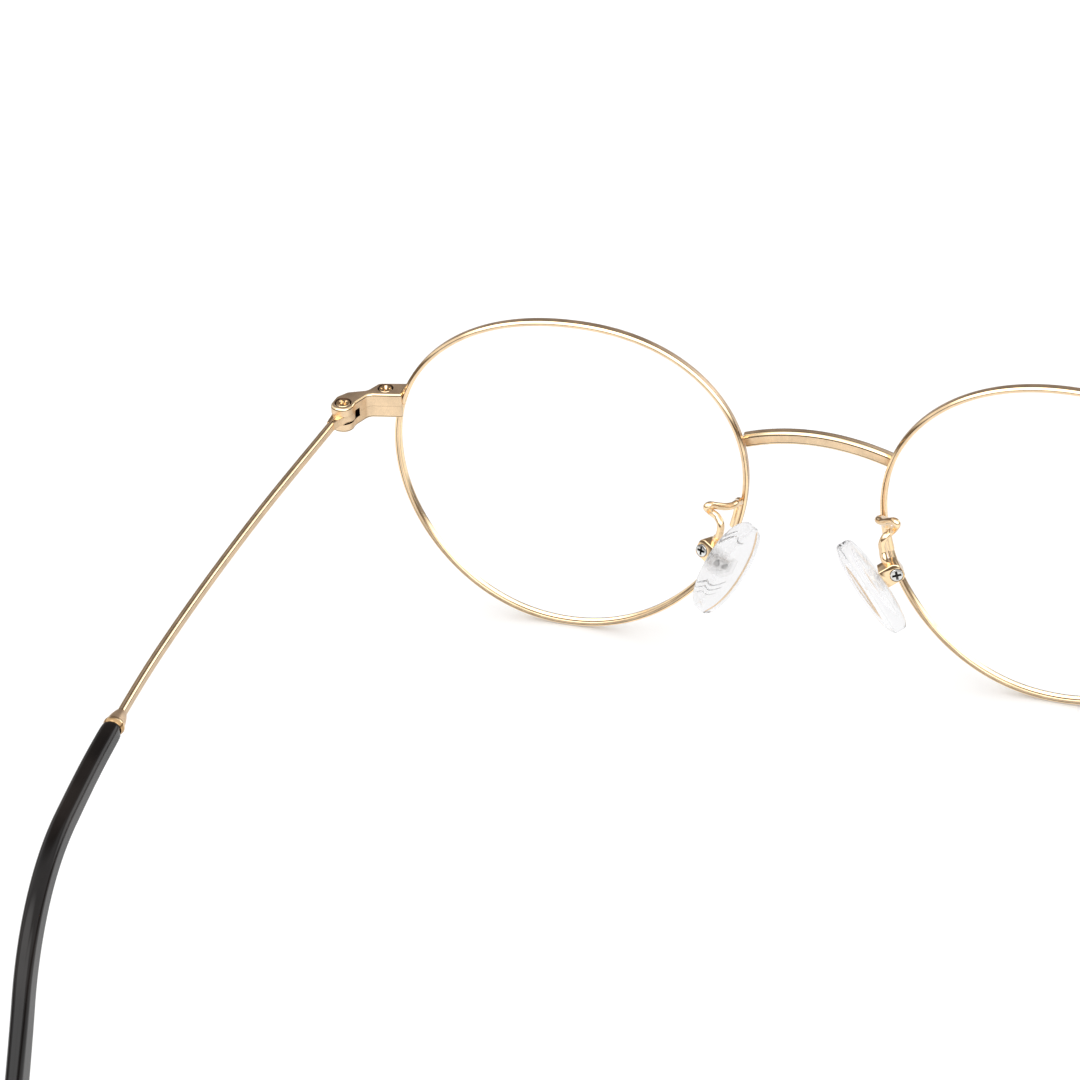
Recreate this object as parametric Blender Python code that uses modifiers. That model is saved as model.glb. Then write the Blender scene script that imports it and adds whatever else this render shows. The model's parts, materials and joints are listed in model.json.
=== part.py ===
"""Metal eyeglasses with round-oval lenses, adjustable nose pads and folding wire temples.

Blender 4.5. Metres, +Z up, +Y towards the back of the head, +X towards the wearer's left.
The glasses stand on their rims and on the ends of their temple tips, opened.
Left means the wearer's left. Each right-hand piece is the mirror image of the left-hand one.
"""
import math

import bmesh
import bpy
from mathutils import Matrix, Vector

MM = 0.001

# Driving dimensions
LENS_WIDTH = 48.0 * MM
LENS_HEIGHT = 45.9 * MM
LENS_GAP = 19.0 * MM
LENS_ROUNDNESS = 2.07
LENS_TRIANGLE = 0.029
LENS_SKEW = -0.010
LENS_BASE_RADIUS = 108.0 * MM
LENS_THICKNESS = 1.25 * MM
LENS_BEVEL = 0.27 * MM
FRONT_LEAN = math.radians(3.0)
FACE_FORM = math.radians(1.0)

RIM_INSIDE = -0.30 * MM
RIM_OUTSIDE = 0.45 * MM
RIM_DEPTH = 1.25 * MM
RIM_CHAMFER = 0.28 * MM
GROOVE_DEPTH = 0.35 * MM
GROOVE_HALF_WIDTH = 0.32 * MM
RIM_STEPS = 84
RIM_SPLIT_ANGLE = math.radians(18.2)
RIM_SPLIT_GAP = 0.10 * MM

SEAM = 0.03 * MM
HINGE_X = 63.45 * MM
HINGE_Y = 7.60 * MM
HINGE_Z = 7.65 * MM
BLOCK_HEIGHT = 3.70 * MM
BLOCK_CHAMFER = 0.22 * MM
CLOSING_SCREW_X = 59.15 * MM
CLOSING_SCREW_Y = 2.70 * MM

TONGUE_THICKNESS = 1.15 * MM
TONGUE_RADIUS = 1.50 * MM
SLOT_HEIGHT = 1.27 * MM
SLOT_RADIUS = 2.20 * MM

WIRE_WIDTH = 0.86 * MM
WIRE_HEIGHT = 1.28 * MM
WIRE_CHAMFER = 0.23 * MM
CORE_SCALE = 0.72
CORE_BORE_RADIUS = 0.56 * MM
FERRULE_START = 69.0 * MM
FERRULE_LENGTH = 3.2 * MM
TIP_START = 72.1 * MM
CORE_END = 118.0 * MM
TIP_BEND_START = 88.9 * MM
TIP_BEND_RADIUS = 26.0 * MM
TIP_BEND_ANGLE = math.radians(50.3)
# Distance behind the hinge, and how far the temple bows out there
BOW = ((0.0, 0.4), (28.0, 2.4), (56.0, 3.1), (76.0, 2.25), (92.0, 0.6), (115.0, -2.2), (140.0, -4.6))

# Centre in millimetres, then lean over the nose, turn to the back and lean forwards in degrees.
# The two pads are bent by hand and differ a little. Both are given as for the left side.
PAD_POSES = {"left": ((9.59, 11.14, -5.22), 21.2, 27.1, -3.2),
             "right": ((9.65, 10.92, -4.90), 32.4, 18.5, 4.8)}
# The arm's way from its foot to the box in millimetres, given as for the left side
ARM_ROUTES = {
    "left": ((9.84, 4.5, 0.53), (9.79, 5.6, 1.09), (10.05, 6.6, 1.38), (10.75, 7.45, 1.68),
             (11.75, 8.54, 2.37), (12.32, 9.3, 2.86), (12.67, 9.5, 2.57), (12.33, 9.0, 1.69),
             (11.46, 8.95, 0.99), (10.82, 9.55, 0.45), (10.74, 9.75, -0.43), (11.0, 9.65, -1.54)),
    "right": ((9.56, 4.5, 1.32), (9.4, 5.6, 2.05), (9.53, 6.6, 2.5), (10.28, 7.45, 2.95),
              (11.34, 8.54, 3.93), (12.14, 9.3, 4.56), (12.5, 9.5, 4.29), (12.11, 9.0, 3.22),
              (11.54, 8.95, 2.44), (11.02, 9.55, 2.05), (10.71, 9.75, 1.02), (10.83, 9.65, -0.08))}
ARM_ENTRY = {"left": 0.6 * MM, "right": 0.3 * MM}
PAD_LENGTH = 15.2 * MM
PAD_WIDTH = 8.4 * MM
PAD_THICKNESS = 3.1 * MM
PAD_FULLNESS = 0.5
PAD_PIVOT_BEHIND = 3.8 * MM
PLUG_HALF = 1.15 * MM
PLUG_DEPTH = 1.4 * MM
BOX_ABOVE = 1.60 * MM
BOX_BELOW = 1.05 * MM
BOX_WIDTH = 2.2 * MM
BOX_DEPTH_OUT = 0.95 * MM
BOX_DEPTH_IN = 1.85 * MM
BOSS_RADIUS = 0.62 * MM
BOX_SLOT = 1.30 * MM
BOX_WALL = 0.55 * MM
ARM_RADIUS = 0.46 * MM

FINE = 0.00001


# ---------------------------------------------------------------- scene and helpers

def clear_scene():
    for old in list(bpy.data.objects):
        bpy.data.objects.remove(old, do_unlink=True)


def new_collection(name):
    collection = bpy.data.collections.new(name)
    bpy.context.scene.collection.children.link(collection)
    return collection


clear_scene()
PARTS = new_collection("eyeglasses")
CUTTERS = new_collection("cutters")


def new_object(name, data, parent=None):
    thing = bpy.data.objects.new(name, data)
    PARTS.objects.link(thing)
    thing.parent = parent
    return thing


def new_empty(name, location, parent=None, rotation=(0.0, 0.0, 0.0)):
    empty = new_object(name, None, parent)
    empty.empty_display_size = 3 * MM
    empty.location = location
    empty.rotation_euler = rotation
    return empty


def as_helper(thing):
    """Cutters and bevel profiles stay out of the model."""
    for holder in list(thing.users_collection):
        holder.objects.unlink(thing)
    CUTTERS.objects.link(thing)
    thing.hide_render = True
    thing.display_type = "WIRE"
    return thing


def material(name, colour, metallic, roughness, transmission=0.0):
    finish = bpy.data.materials.new(name)
    finish.use_nodes = True
    shader = finish.node_tree.nodes["Principled BSDF"]
    shader.inputs["Base Color"].default_value = (*colour, 1.0)
    shader.inputs["Metallic"].default_value = metallic
    shader.inputs["Roughness"].default_value = roughness
    shader.inputs["Transmission Weight"].default_value = transmission
    finish.diffuse_color = (*colour, 1.0)
    return finish


def paint(thing, finish):
    thing.data.materials.clear()
    thing.data.materials.append(finish)
    return thing


def as_mesh(thing):
    """The evaluated object as a plain mesh object with its caps welded on."""
    bpy.context.view_layer.update()
    graph = bpy.context.evaluated_depsgraph_get()
    mesh = bpy.data.meshes.new_from_object(thing.evaluated_get(graph))
    work = bmesh.new()
    work.from_mesh(mesh)
    bmesh.ops.remove_doubles(work, verts=work.verts, dist=FINE)
    bmesh.ops.recalc_face_normals(work, faces=work.faces)
    work.to_mesh(mesh)
    work.free()
    name, parent, place = thing.name, thing.parent, thing.matrix_world.copy()
    bpy.data.objects.remove(thing, do_unlink=True)
    solid = new_object(name, mesh, parent)
    solid.matrix_world = place
    return solid


def combine(thing, other, operation="DIFFERENCE"):
    """Cut one mesh by another, or join them, and keep the result as the first one's mesh."""
    modifier = thing.modifiers.new(operation.lower(), "BOOLEAN")
    modifier.operation = operation
    modifier.object = other
    modifier.solver = "EXACT"
    bpy.context.view_layer.update()
    graph = bpy.context.evaluated_depsgraph_get()
    mesh = bpy.data.meshes.new_from_object(thing.evaluated_get(graph))
    thing.modifiers.clear()
    thing.data = mesh
    bpy.data.objects.remove(other, do_unlink=True)
    return thing


def smooth(thing, angle=35.0):
    thing.data.shade_smooth()
    thing.data.set_sharp_from_angle(angle=math.radians(angle))
    return thing


def rounded(corners, steps=5):
    """Points of an outline whose corners (x, y, radius) are rounded by arcs, in millimetres."""
    points = []
    for index, (x, y, radius) in enumerate(corners):
        here = Vector((x, y))
        if radius == 0:
            points.append(here)
            continue
        before = (Vector(corners[index - 1][:2]) - here).normalized()
        after = (Vector(corners[(index + 1) % len(corners)][:2]) - here).normalized()
        half = before.angle(after) / 2
        centre = here + (before + after).normalized() * (radius / math.sin(half))
        start = here + before * (radius / math.tan(half)) - centre
        turn = start.angle_signed(here + after * (radius / math.tan(half)) - centre)
        for step in range(steps + 1):
            points.append(centre + Matrix.Rotation(-turn * step / steps, 2) @ start)
    return points


def plate(name, outline, low, high, parent=None, chamfer=0.0):
    """A flat outline in millimetres, extruded between two heights in metres."""
    shape = bpy.data.curves.new(name, "CURVE")
    shape.dimensions = "2D"
    shape.fill_mode = "BOTH"
    shape.extrude = (high - low) / 2 - chamfer
    shape.bevel_depth = chamfer
    shape.bevel_resolution = 0
    shape.offset = -chamfer
    spline = shape.splines.new("POLY")
    spline.points.add(len(outline) - 1)
    for point, place in zip(spline.points, outline):
        point.co = (place[0] * MM, place[1] * MM, 0.0, 1.0)
    spline.use_cyclic_u = True
    thing = new_object(name, shape, parent)
    thing.location.z = (low + high) / 2
    return as_mesh(thing)


def block_cutter(name, low, high, parent=None):
    """A box between two corners."""
    low, high = Vector(low), Vector(high)
    mesh = bpy.data.meshes.new(name)
    work = bmesh.new()
    bmesh.ops.create_cube(work, size=1.0)
    bmesh.ops.scale(work, vec=high - low, verts=work.verts)
    bmesh.ops.translate(work, vec=(low + high) / 2, verts=work.verts)
    work.to_mesh(mesh)
    work.free()
    return as_helper(new_object(name, mesh, parent))


def round_cutter(name, radius, low, high, place, parent=None, segments=24):
    """An upright cylinder between two heights, standing at place."""
    mesh = bpy.data.meshes.new(name)
    work = bmesh.new()
    bmesh.ops.create_cone(work, cap_ends=True, segments=segments, radius1=radius, radius2=radius,
                          depth=high - low)
    bmesh.ops.translate(work, vec=(place[0], place[1], (low + high) / 2), verts=work.verts)
    work.to_mesh(mesh)
    work.free()
    return as_helper(new_object(name, mesh, parent))


def turned(name, profile, segments, parent=None):
    """A profile of (radius, height) in metres, turned about Z. It runs from the top axis to the foot."""
    mesh = bpy.data.meshes.new(name)
    edges = [(i, i + 1) for i in range(len(profile) - 1)]
    mesh.from_pydata([(r, 0.0, z) for r, z in profile], edges, [])
    thing = new_object(name, mesh, parent)
    screw = thing.modifiers.new("turn", "SCREW")
    screw.axis = "Z"
    screw.steps = segments
    screw.render_steps = segments
    screw.use_merge_vertices = True
    screw.merge_threshold = FINE / 10
    return as_mesh(thing)


def wire(name, points, radius=0.0, profile=None, scales=None, twist="MINIMUM", parent=None):
    """A wire along points in metres, round with a radius, or with a profile object."""
    shape = bpy.data.curves.new(name, "CURVE")
    shape.dimensions = "3D"
    shape.twist_mode = twist
    shape.use_fill_caps = True
    if profile:
        shape.bevel_mode = "OBJECT"
        shape.bevel_object = profile
    else:
        shape.bevel_depth = radius
        shape.bevel_resolution = 2
    spline = shape.splines.new("POLY")
    spline.points.add(len(points) - 1)
    for index, place in enumerate(points):
        spline.points[index].co = (*place, 1.0)
        spline.points[index].radius = scales[index] if scales else 1.0
    return new_object(name, shape, parent)


def profile_curve(name, outline):
    """A closed cross-section, in metres, for a wire."""
    shape = bpy.data.curves.new(name, "CURVE")
    shape.dimensions = "2D"
    shape.fill_mode = "NONE"
    spline = shape.splines.new("POLY")
    spline.points.add(len(outline) - 1)
    for point, place in zip(spline.points, outline):
        point.co = (*place, 0.0, 1.0)
    spline.use_cyclic_u = True
    return as_helper(new_object(name, shape))


def chamfered_rectangle(width, height, chamfer):
    across, up = width / 2, height / 2
    corners = []
    for x, y in ((1, 1), (-1, 1), (-1, -1), (1, -1)):
        side = (x * across, y * (up - chamfer))
        end = (x * (across - chamfer), y * up)
        corners += [side, end] if x * y > 0 else [end, side]
    return corners


def smooth_through(knots, position):
    """The value at a position on a smooth curve through (position, value) knots."""
    last = len(knots) - 2
    index = max(i for i in range(last + 1) if i == 0 or knots[i][0] <= position)
    span = knots[index + 1][0] - knots[index][0]
    part = (position - knots[index][0]) / span

    def slope(i):
        low, high = max(i - 1, 0), min(i + 1, last + 1)
        return (knots[high][1] - knots[low][1]) / (knots[high][0] - knots[low][0])

    start, end = knots[index][1], knots[index + 1][1]
    return ((2 * part ** 3 - 3 * part ** 2 + 1) * start + (3 * part ** 2 - 2 * part ** 3) * end
            + (part ** 3 - 2 * part ** 2 + part) * span * slope(index)
            + (part ** 3 - part ** 2) * span * slope(index + 1))


def smooth_route(points, per_gap):
    """More points on a smooth curve through the given ones."""
    knots = [[(i, p[axis]) for i, p in enumerate(points)] for axis in range(3)]
    count = (len(points) - 1) * per_gap
    return [Vector([smooth_through(knots[axis], i / per_gap) for axis in range(3)])
            for i in range(count + 1)]


def loft(name, rings, parent=None):
    """A closed skin over rings with equal point counts."""
    work = bmesh.new()
    loops = [[work.verts.new(point) for point in ring] for ring in rings]
    count = len(rings[0])
    for near, far in zip(loops, loops[1:]):
        for i in range(count):
            j = (i + 1) % count
            work.faces.new((near[i], near[j], far[j], far[i]))
    work.faces.new(loops[0][::-1])
    work.faces.new(loops[-1])
    bmesh.ops.recalc_face_normals(work, faces=work.faces)
    mesh = bpy.data.meshes.new(name)
    work.to_mesh(mesh)
    work.free()
    return new_object(name, mesh, parent)


FLIP = Matrix.Scale(-1.0, 4, Vector((1.0, 0.0, 0.0)))


def mirrored(left, parent):
    """The right-hand twin of a left-hand piece, mirrored in the plane x = 0."""
    bpy.context.view_layer.update()
    mesh = left.data.copy()
    mesh.transform(parent.matrix_world.inverted() @ FLIP @ left.matrix_world)
    mesh.flip_normals()
    return new_object(left.name.replace("left", "right"), mesh, parent)


def mirrored_in_place(left, parent):
    """The twin of a piece that is mirrored within its own frame, for a frame with its own pose."""
    mesh = left.data.copy()
    mesh.transform(FLIP @ left.matrix_basis)
    mesh.flip_normals()
    return new_object(left.name.replace("left", "right"), mesh, parent)


# ---------------------------------------------------------------- shared geometry

def lens_radius(angle):
    """Distance from the lens centre to its edge. Angle 0 points to the temple, 90 degrees up."""
    across = abs(math.cos(angle)) / (LENS_WIDTH / 2)
    up = abs(math.sin(angle)) / (LENS_HEIGHT / 2)
    oval = (across ** LENS_ROUNDNESS + up ** LENS_ROUNDNESS) ** (-1 / LENS_ROUNDNESS)
    return oval * (1 + LENS_TRIANGLE * math.sin(3 * angle) + LENS_SKEW * math.sin(2 * angle))


def lens_edge(angle, outwards=0.0, backwards=0.0):
    """A point beside the lens edge in the lens's own frame: x to the temple, y up, z forwards."""
    step = 0.01
    here = lens_radius(angle) * Vector((math.cos(angle), math.sin(angle)))
    ahead = lens_radius(angle + step) * Vector((math.cos(angle + step), math.sin(angle + step)))
    along = (ahead - here).normalized()
    place = here + Vector((along.y, -along.x)) * outwards
    sag = place.length_squared / (2 * LENS_BASE_RADIUS)
    return Vector((place.x, place.y, -sag - backwards))


ROOT = new_empty("eyeglasses_origin", (0.0, 0.0, 0.0))
FRONT = new_empty("front_frame", (0.0, 0.0, 0.0), ROOT, (FRONT_LEAN, 0.0, 0.0))
LENS_FRAME = new_empty("lens_frame_left", ((LENS_WIDTH + LENS_GAP) / 2, 0.0, 0.0), FRONT,
                       (math.radians(90.0), 0.0, FACE_FORM))
HINGE_LEFT = new_empty("temple_hinge_axis_left", (HINGE_X, HINGE_Y, HINGE_Z), ROOT)
HINGE_RIGHT = new_empty("temple_hinge_axis_right", (-HINGE_X, HINGE_Y, HINGE_Z), ROOT)


def pad_frame(side):
    """The hinge of a pad as if on the left: x along the hinge, y up the pad, z out of its face."""
    centre, roof, splay, front = PAD_POSES[side]
    roof, splay, front = math.radians(roof), math.radians(splay), math.radians(front)
    long_axis = Vector((-math.sin(roof) * math.cos(front), math.sin(front),
                        math.cos(roof) * math.cos(front)))
    normal = Vector((-math.cos(splay), math.sin(splay), 0.0))
    normal -= long_axis * normal.dot(long_axis)
    normal.normalize()
    turn = Matrix((long_axis.cross(normal), long_axis, normal)).transposed().to_4x4()
    return Matrix.Translation(Vector(centre) * MM) @ turn @ Matrix.Translation((0, 0, -PAD_PIVOT_BEHIND))


PAD_LEFT = new_empty("nose_pad_axis_left", (0.0, 0.0, 0.0), ROOT)
PAD_LEFT.matrix_basis = pad_frame("left")
PAD_RIGHT = new_empty("nose_pad_axis_right", (0.0, 0.0, 0.0), ROOT)
PAD_RIGHT.matrix_basis = FLIP @ pad_frame("right") @ FLIP


# ---------------------------------------------------------------- front: rims, lenses, bridge

def make_rim(finish):
    """The grooved rim wire, open at the closing block."""
    half = RIM_DEPTH / 2
    section = [(RIM_INSIDE, half), (RIM_OUTSIDE - RIM_CHAMFER, half),
               (RIM_OUTSIDE, half - RIM_CHAMFER), (RIM_OUTSIDE, RIM_CHAMFER - half),
               (RIM_OUTSIDE - RIM_CHAMFER, -half), (RIM_INSIDE, -half),
               (RIM_INSIDE, -GROOVE_HALF_WIDTH), (RIM_INSIDE + GROOVE_DEPTH, 0.0),
               (RIM_INSIDE, GROOVE_HALF_WIDTH)]
    profile = profile_curve("rim_profile", section)
    half_split = RIM_SPLIT_GAP / 2 / lens_radius(RIM_SPLIT_ANGLE)
    turn = 2 * math.pi - 2 * half_split
    angles = [RIM_SPLIT_ANGLE + half_split + turn * i / RIM_STEPS for i in range(RIM_STEPS + 1)]
    rim = wire("eyewire_left", [lens_edge(a) for a in angles], profile=profile, twist="Z_UP",
               parent=LENS_FRAME)
    rim = as_mesh(rim)
    bpy.data.objects.remove(profile, do_unlink=True)
    return smooth(paint(rim, finish), 30)


def make_lens(finish):
    """A meniscus turned as a disc, then drawn out to the lens outline."""
    edge, body = 1.0, 1.0 - LENS_BEVEL / (LENS_WIDTH / 2)
    half, ridge = LENS_THICKNESS / 2, 0.24 * MM
    profile = [(0.0, half), (0.35, half), (0.7, half), (body, half), (body, ridge), (edge, 0.0),
               (body, -ridge), (body, -half), (0.7, -half), (0.35, -half), (0.0, -half)]
    disc = 10 * MM
    lens = turned("lens_left", [(r * disc, z) for r, z in profile], 60, LENS_FRAME)
    edge_inset = 0.12 * MM
    for vertex in lens.data.vertices:
        angle = math.atan2(vertex.co.y, vertex.co.x)
        part = Vector(vertex.co[:2]).length / disc
        reach = (lens_radius(angle) - edge_inset) * part
        sag = reach ** 2 / (2 * LENS_BASE_RADIUS)
        vertex.co = (reach * math.cos(angle), reach * math.sin(angle), vertex.co.z - sag)
    return smooth(paint(lens, finish), 40)


def rim_envelope(name, outwards, back, front):
    """A cutter that fills the rim, so that neighbours can be fitted against it."""
    ring = [lens_edge(2 * math.pi * i / RIM_STEPS, outwards) for i in range(RIM_STEPS)]
    rings = [[Vector((p.x, p.y, p.z - back)) for p in ring],
             [Vector((p.x, p.y, p.z + front)) for p in ring]]
    return as_helper(loft(name, rings, LENS_FRAME))


def make_bridge(finish):
    """A curved bar that arches up and back between the rims, cut to fit their outsides."""
    end = Vector((10.4, 0.62, 7.80)) * MM
    rise, back = 2.68 * MM, 1.10 * MM
    count = 24
    points = []
    for i in range(count + 1):
        part = 2 * i / count - 1
        arch = 1 - part * part
        points.append(Vector((part * end.x, end.y + back * arch, end.z + rise * arch)))
    profile = profile_curve("bridge_profile", chamfered_rectangle(1.45 * MM, 1.92 * MM, 0.40 * MM))
    bridge = as_mesh(wire("bridge", points, profile=profile, twist="Z_UP", parent=ROOT))
    bpy.data.objects.remove(profile, do_unlink=True)
    deep = 5 * MM
    left = rim_envelope("left_rim_envelope", RIM_OUTSIDE + SEAM, deep, deep)
    right = as_helper(mirrored(left, ROOT))
    combine(bridge, left)
    combine(bridge, right)
    return smooth(paint(bridge, finish), 30)


# ---------------------------------------------------------------- closing block and hinge

BLOCK_OUTLINE = ((56.55, 0.68, 0.0), (60.45, 1.66, 0.8), (61.4, 3.75, 1.3), (63.8, 4.85, 1.1),
                 (64.85, 6.3, 1.0), (65.05, 9.4, 1.45), (61.95, 9.4, 1.4), (61.9, 7.2, 2.5),
                 (60.9, 4.78, 1.2), (56.55, 3.83, 0.0))


def screw_holes(name, half):
    """Bores for the closing screw and the hinge screw in one half of the block."""
    top = HINGE_Z + BLOCK_HEIGHT / 2
    clearance = 0.66 * MM if half == "upper" else 0.61 * MM
    cutters = []
    for label, x, y, head in (("closing", CLOSING_SCREW_X, CLOSING_SCREW_Y, 0.98 * MM),
                              ("hinge", HINGE_X, HINGE_Y, 1.05 * MM)):
        cutters.append(round_cutter(name + label, clearance, HINGE_Z - 5 * MM, HINGE_Z + 5 * MM,
                                    (x, y), ROOT, 20))
        if half == "upper":
            cutters.append(round_cutter(name + label + "_head", head, top - 0.42 * MM,
                                        top + 1 * MM, (x, y), ROOT))
    return cutters


def make_block(half, finish):
    """One half of the closing block, with its ear of the hinge."""
    name = "closing_block_" + half + "_left"
    low, high = HINGE_Z - BLOCK_HEIGHT / 2, HINGE_Z + BLOCK_HEIGHT / 2
    block = plate(name, rounded(BLOCK_OUTLINE), low, high, ROOT, BLOCK_CHAMFER)
    far = 100 * MM
    if half == "upper":
        waste = block_cutter("waste", (0, -far, HINGE_Z - 9 * MM), (far, far, HINGE_Z + SEAM / 2), ROOT)
    else:
        waste = block_cutter("waste", (0, -far, HINGE_Z - SEAM / 2), (far, far, HINGE_Z + 9 * MM), ROOT)
    combine(block, waste)
    combine(block, round_cutter("slot", SLOT_RADIUS, HINGE_Z - SLOT_HEIGHT / 2,
                                HINGE_Z + SLOT_HEIGHT / 2, (HINGE_X, HINGE_Y), ROOT, 32))
    combine(block, rim_envelope("rim_envelope", RIM_OUTSIDE + SEAM, RIM_DEPTH / 2 + SEAM, 4 * MM))
    for cutter in screw_holes("bore_", half):
        combine(block, cutter)
    return smooth(paint(block, finish), 25)


def make_screw(name, head_radius, head_height, shank_radius, length, place, finish, turn=None):
    """A cheese-head screw with a cross recess, its head's top at place."""
    dome = 0.10 * MM
    profile = [(0.0, 0.0), (head_radius - dome, 0.0), (head_radius, -dome),
               (head_radius, -head_height), (shank_radius, -head_height),
               (shank_radius, -length), (0.0, -length)]
    screw = turned(name, profile, 20)
    reach, arm, deep = head_radius * 0.68, 0.13 * MM, -0.28 * MM
    combine(screw, block_cutter("recess", (-reach, -arm, deep), (reach, arm, 1 * MM)))
    combine(screw, block_cutter("recess", (-arm, -reach, deep), (arm, reach, 1 * MM)))
    screw.data.transform(Matrix.Translation(place) @ (turn or Matrix.Rotation(0.6, 4, "Z")))
    screw.parent = ROOT
    return smooth(paint(screw, finish), 30)


def make_block_screws(finish):
    top = HINGE_Z + BLOCK_HEIGHT / 2
    length = BLOCK_HEIGHT - 0.3 * MM
    closing = make_screw("closing_screw_left", 0.92 * MM, 0.36 * MM, 0.57 * MM, length,
                         Vector((CLOSING_SCREW_X, CLOSING_SCREW_Y, top - 0.04 * MM)), finish)
    hinge = make_screw("hinge_screw_left", 0.99 * MM, 0.36 * MM, 0.57 * MM, length,
                       Vector((HINGE_X, HINGE_Y, top - 0.04 * MM)), finish)
    return closing, hinge


# ---------------------------------------------------------------- temple

def temple_centre(distance):
    """Centre line of the left temple at a distance behind the hinge, in the hinge's frame."""
    past_bend = max(0.0, distance - TIP_BEND_START)
    angle = min(past_bend / TIP_BEND_RADIUS, TIP_BEND_ANGLE)
    straight = past_bend - TIP_BEND_RADIUS * angle
    run = min(distance, TIP_BEND_START) + TIP_BEND_RADIUS * math.sin(angle) + straight * math.cos(angle)
    drop = TIP_BEND_RADIUS * (1 - math.cos(angle)) + straight * math.sin(angle)
    return Vector((smooth_through(BOW, distance / MM) * MM, run, -drop))


def spaced(start, end, count):
    return [start + (end - start) * i / count for i in range(count + 1)]


def make_temple(finish):
    """Hinge tongue, wire and the core that runs inside the tip, all one piece."""
    thick = TONGUE_THICKNESS / 2
    radius = TONGUE_RADIUS / MM
    outline = [(radius * math.cos(a), radius * math.sin(a))
               for a in [math.radians(35 - 25 * i) for i in range(11)]]
    outline += [(-0.55, 1.75), (0.02, 2.7), (0.14, 3.4), (1.12, 3.4), (1.15, 2.5)]
    temple = plate("temple_left", outline, -thick, thick, HINGE_LEFT)
    profile = profile_curve("wire_profile", chamfered_rectangle(WIRE_WIDTH, WIRE_HEIGHT, WIRE_CHAMFER))
    neck = 0.08 * MM
    body = spaced(2.6 * MM, FERRULE_START - neck, 16)
    core = spaced(FERRULE_START, CORE_END, 20)
    scales = [1.0] * len(body) + [CORE_SCALE] * len(core)
    run = as_mesh(wire("wire_run", [temple_centre(s) for s in body + core], profile=profile,
                       scales=scales, twist="Z_UP", parent=HINGE_LEFT))
    bpy.data.objects.remove(profile, do_unlink=True)
    combine(temple, as_helper(run), "UNION")
    combine(temple, round_cutter("pin_bore", 0.68 * MM, -2 * MM, 2 * MM, (0.0, 0.0), HINGE_LEFT, 20))
    return smooth(paint(temple, finish), 30)


def make_ferrule(finish):
    """The conical collar between the wire and the tip, bored for the core."""
    bore = CORE_BORE_RADIUS
    length = FERRULE_LENGTH
    foot = -0.955 * length
    profile = [(bore, 0.0), (0.66 * MM, 0.0), (0.80 * MM, -0.25 * MM), (1.12 * MM, -1.40 * MM),
               (1.26 * MM, -2.40 * MM), (1.33 * MM, -2.55 * MM), (1.33 * MM, -2.90 * MM),
               (1.24 * MM, foot), (bore, foot), (bore, 0.0)]
    ferrule = turned("ferrule_left", profile, 22)
    start, end = temple_centre(FERRULE_START + 0.02 * MM), temple_centre(FERRULE_START + length)
    turn = (start - end).to_track_quat("Z", "Y").to_matrix().to_4x4()
    ferrule.data.transform(Matrix.Translation(start) @ turn)
    ferrule.parent = HINGE_LEFT
    return smooth(paint(ferrule, finish), 30)


# Distance behind the hinge, width and height of the tip there, in millimetres
TIP_SECTIONS = ((72.1, 1.95, 2.05), (72.6, 2.30, 2.40), (73.8, 2.45, 2.60), (82.0, 2.50, 2.70),
                (90.0, 2.50, 2.90), (97.0, 2.45, 3.20), (104.0, 2.40, 3.65), (111.0, 2.30, 4.20),
                (118.0, 2.20, 4.70), (126.0, 2.10, 5.10), (132.0, 2.05, 5.20), (135.5, 1.95, 4.90),
                (137.7, 1.75, 4.10), (139.2, 1.35, 2.80), (139.9, 0.80, 1.60))


def tip_ring(distance, width, height, count=16):
    """A cross-section of the tip, an oval that is cut flat on its inner side."""
    step = 0.2 * MM
    centre = temple_centre(distance)
    along = (temple_centre(distance + step) - temple_centre(distance - step)).normalized()
    side = along.cross(Vector((0, 0, 1))).normalized()
    up = side.cross(along)
    power = 2 / 2.6
    flat = -0.40 * width
    ring = []
    for i in range(count):
        angle = 2 * math.pi * (i + 0.5) / count
        x, y = math.cos(angle), math.sin(angle)
        across = math.copysign(abs(x) ** power, x) * width / 2
        high = math.copysign(abs(y) ** power, y) * height / 2
        ring.append(centre + side * max(across, flat) + up * high)
    return ring


def make_tip(finish):
    rings = []
    for distance, width, height in TIP_SECTIONS:
        rings.append(tip_ring(distance * MM, width * MM, height * MM))
    tip = loft("temple_tip_left", rings, HINGE_LEFT)
    bore_path = [temple_centre(s) for s in spaced(TIP_START - 1 * MM, CORE_END + 0.3 * MM, 20)]
    bore = as_mesh(wire("core_bore", bore_path, CORE_BORE_RADIUS, parent=HINGE_LEFT))
    combine(tip, as_helper(bore))
    return smooth(paint(tip, finish), 40)


# ---------------------------------------------------------------- nose pads

def make_pad_arm(side, finish):
    """The wire that is brazed along the rim and carries the pad box, with its loop."""
    foot_angles = (190.3, 187.0, 184.0, 181.0)
    back = RIM_DEPTH / 2 + SEAM + ARM_RADIUS
    bpy.context.view_layer.update()
    foot = [LENS_FRAME.matrix_world @ lens_edge(math.radians(a), -0.45 * MM, back) for a in foot_angles]
    pad = pad_frame(side)
    top, entry = BOX_ABOVE + SEAM, ARM_ENTRY[side]
    ends = [pad @ Vector((0.0, top + 0.8 * MM, entry)), pad @ Vector((0.0, top, entry))]
    points = foot + [Vector(p) * MM for p in ARM_ROUTES[side]] + ends
    if side == "right":
        points = [FLIP @ p for p in points]
    arm = wire("pad_arm_" + side, smooth_route(points, 3), ARM_RADIUS, parent=ROOT)
    return smooth(paint(as_mesh(arm), finish), 60)


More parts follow.
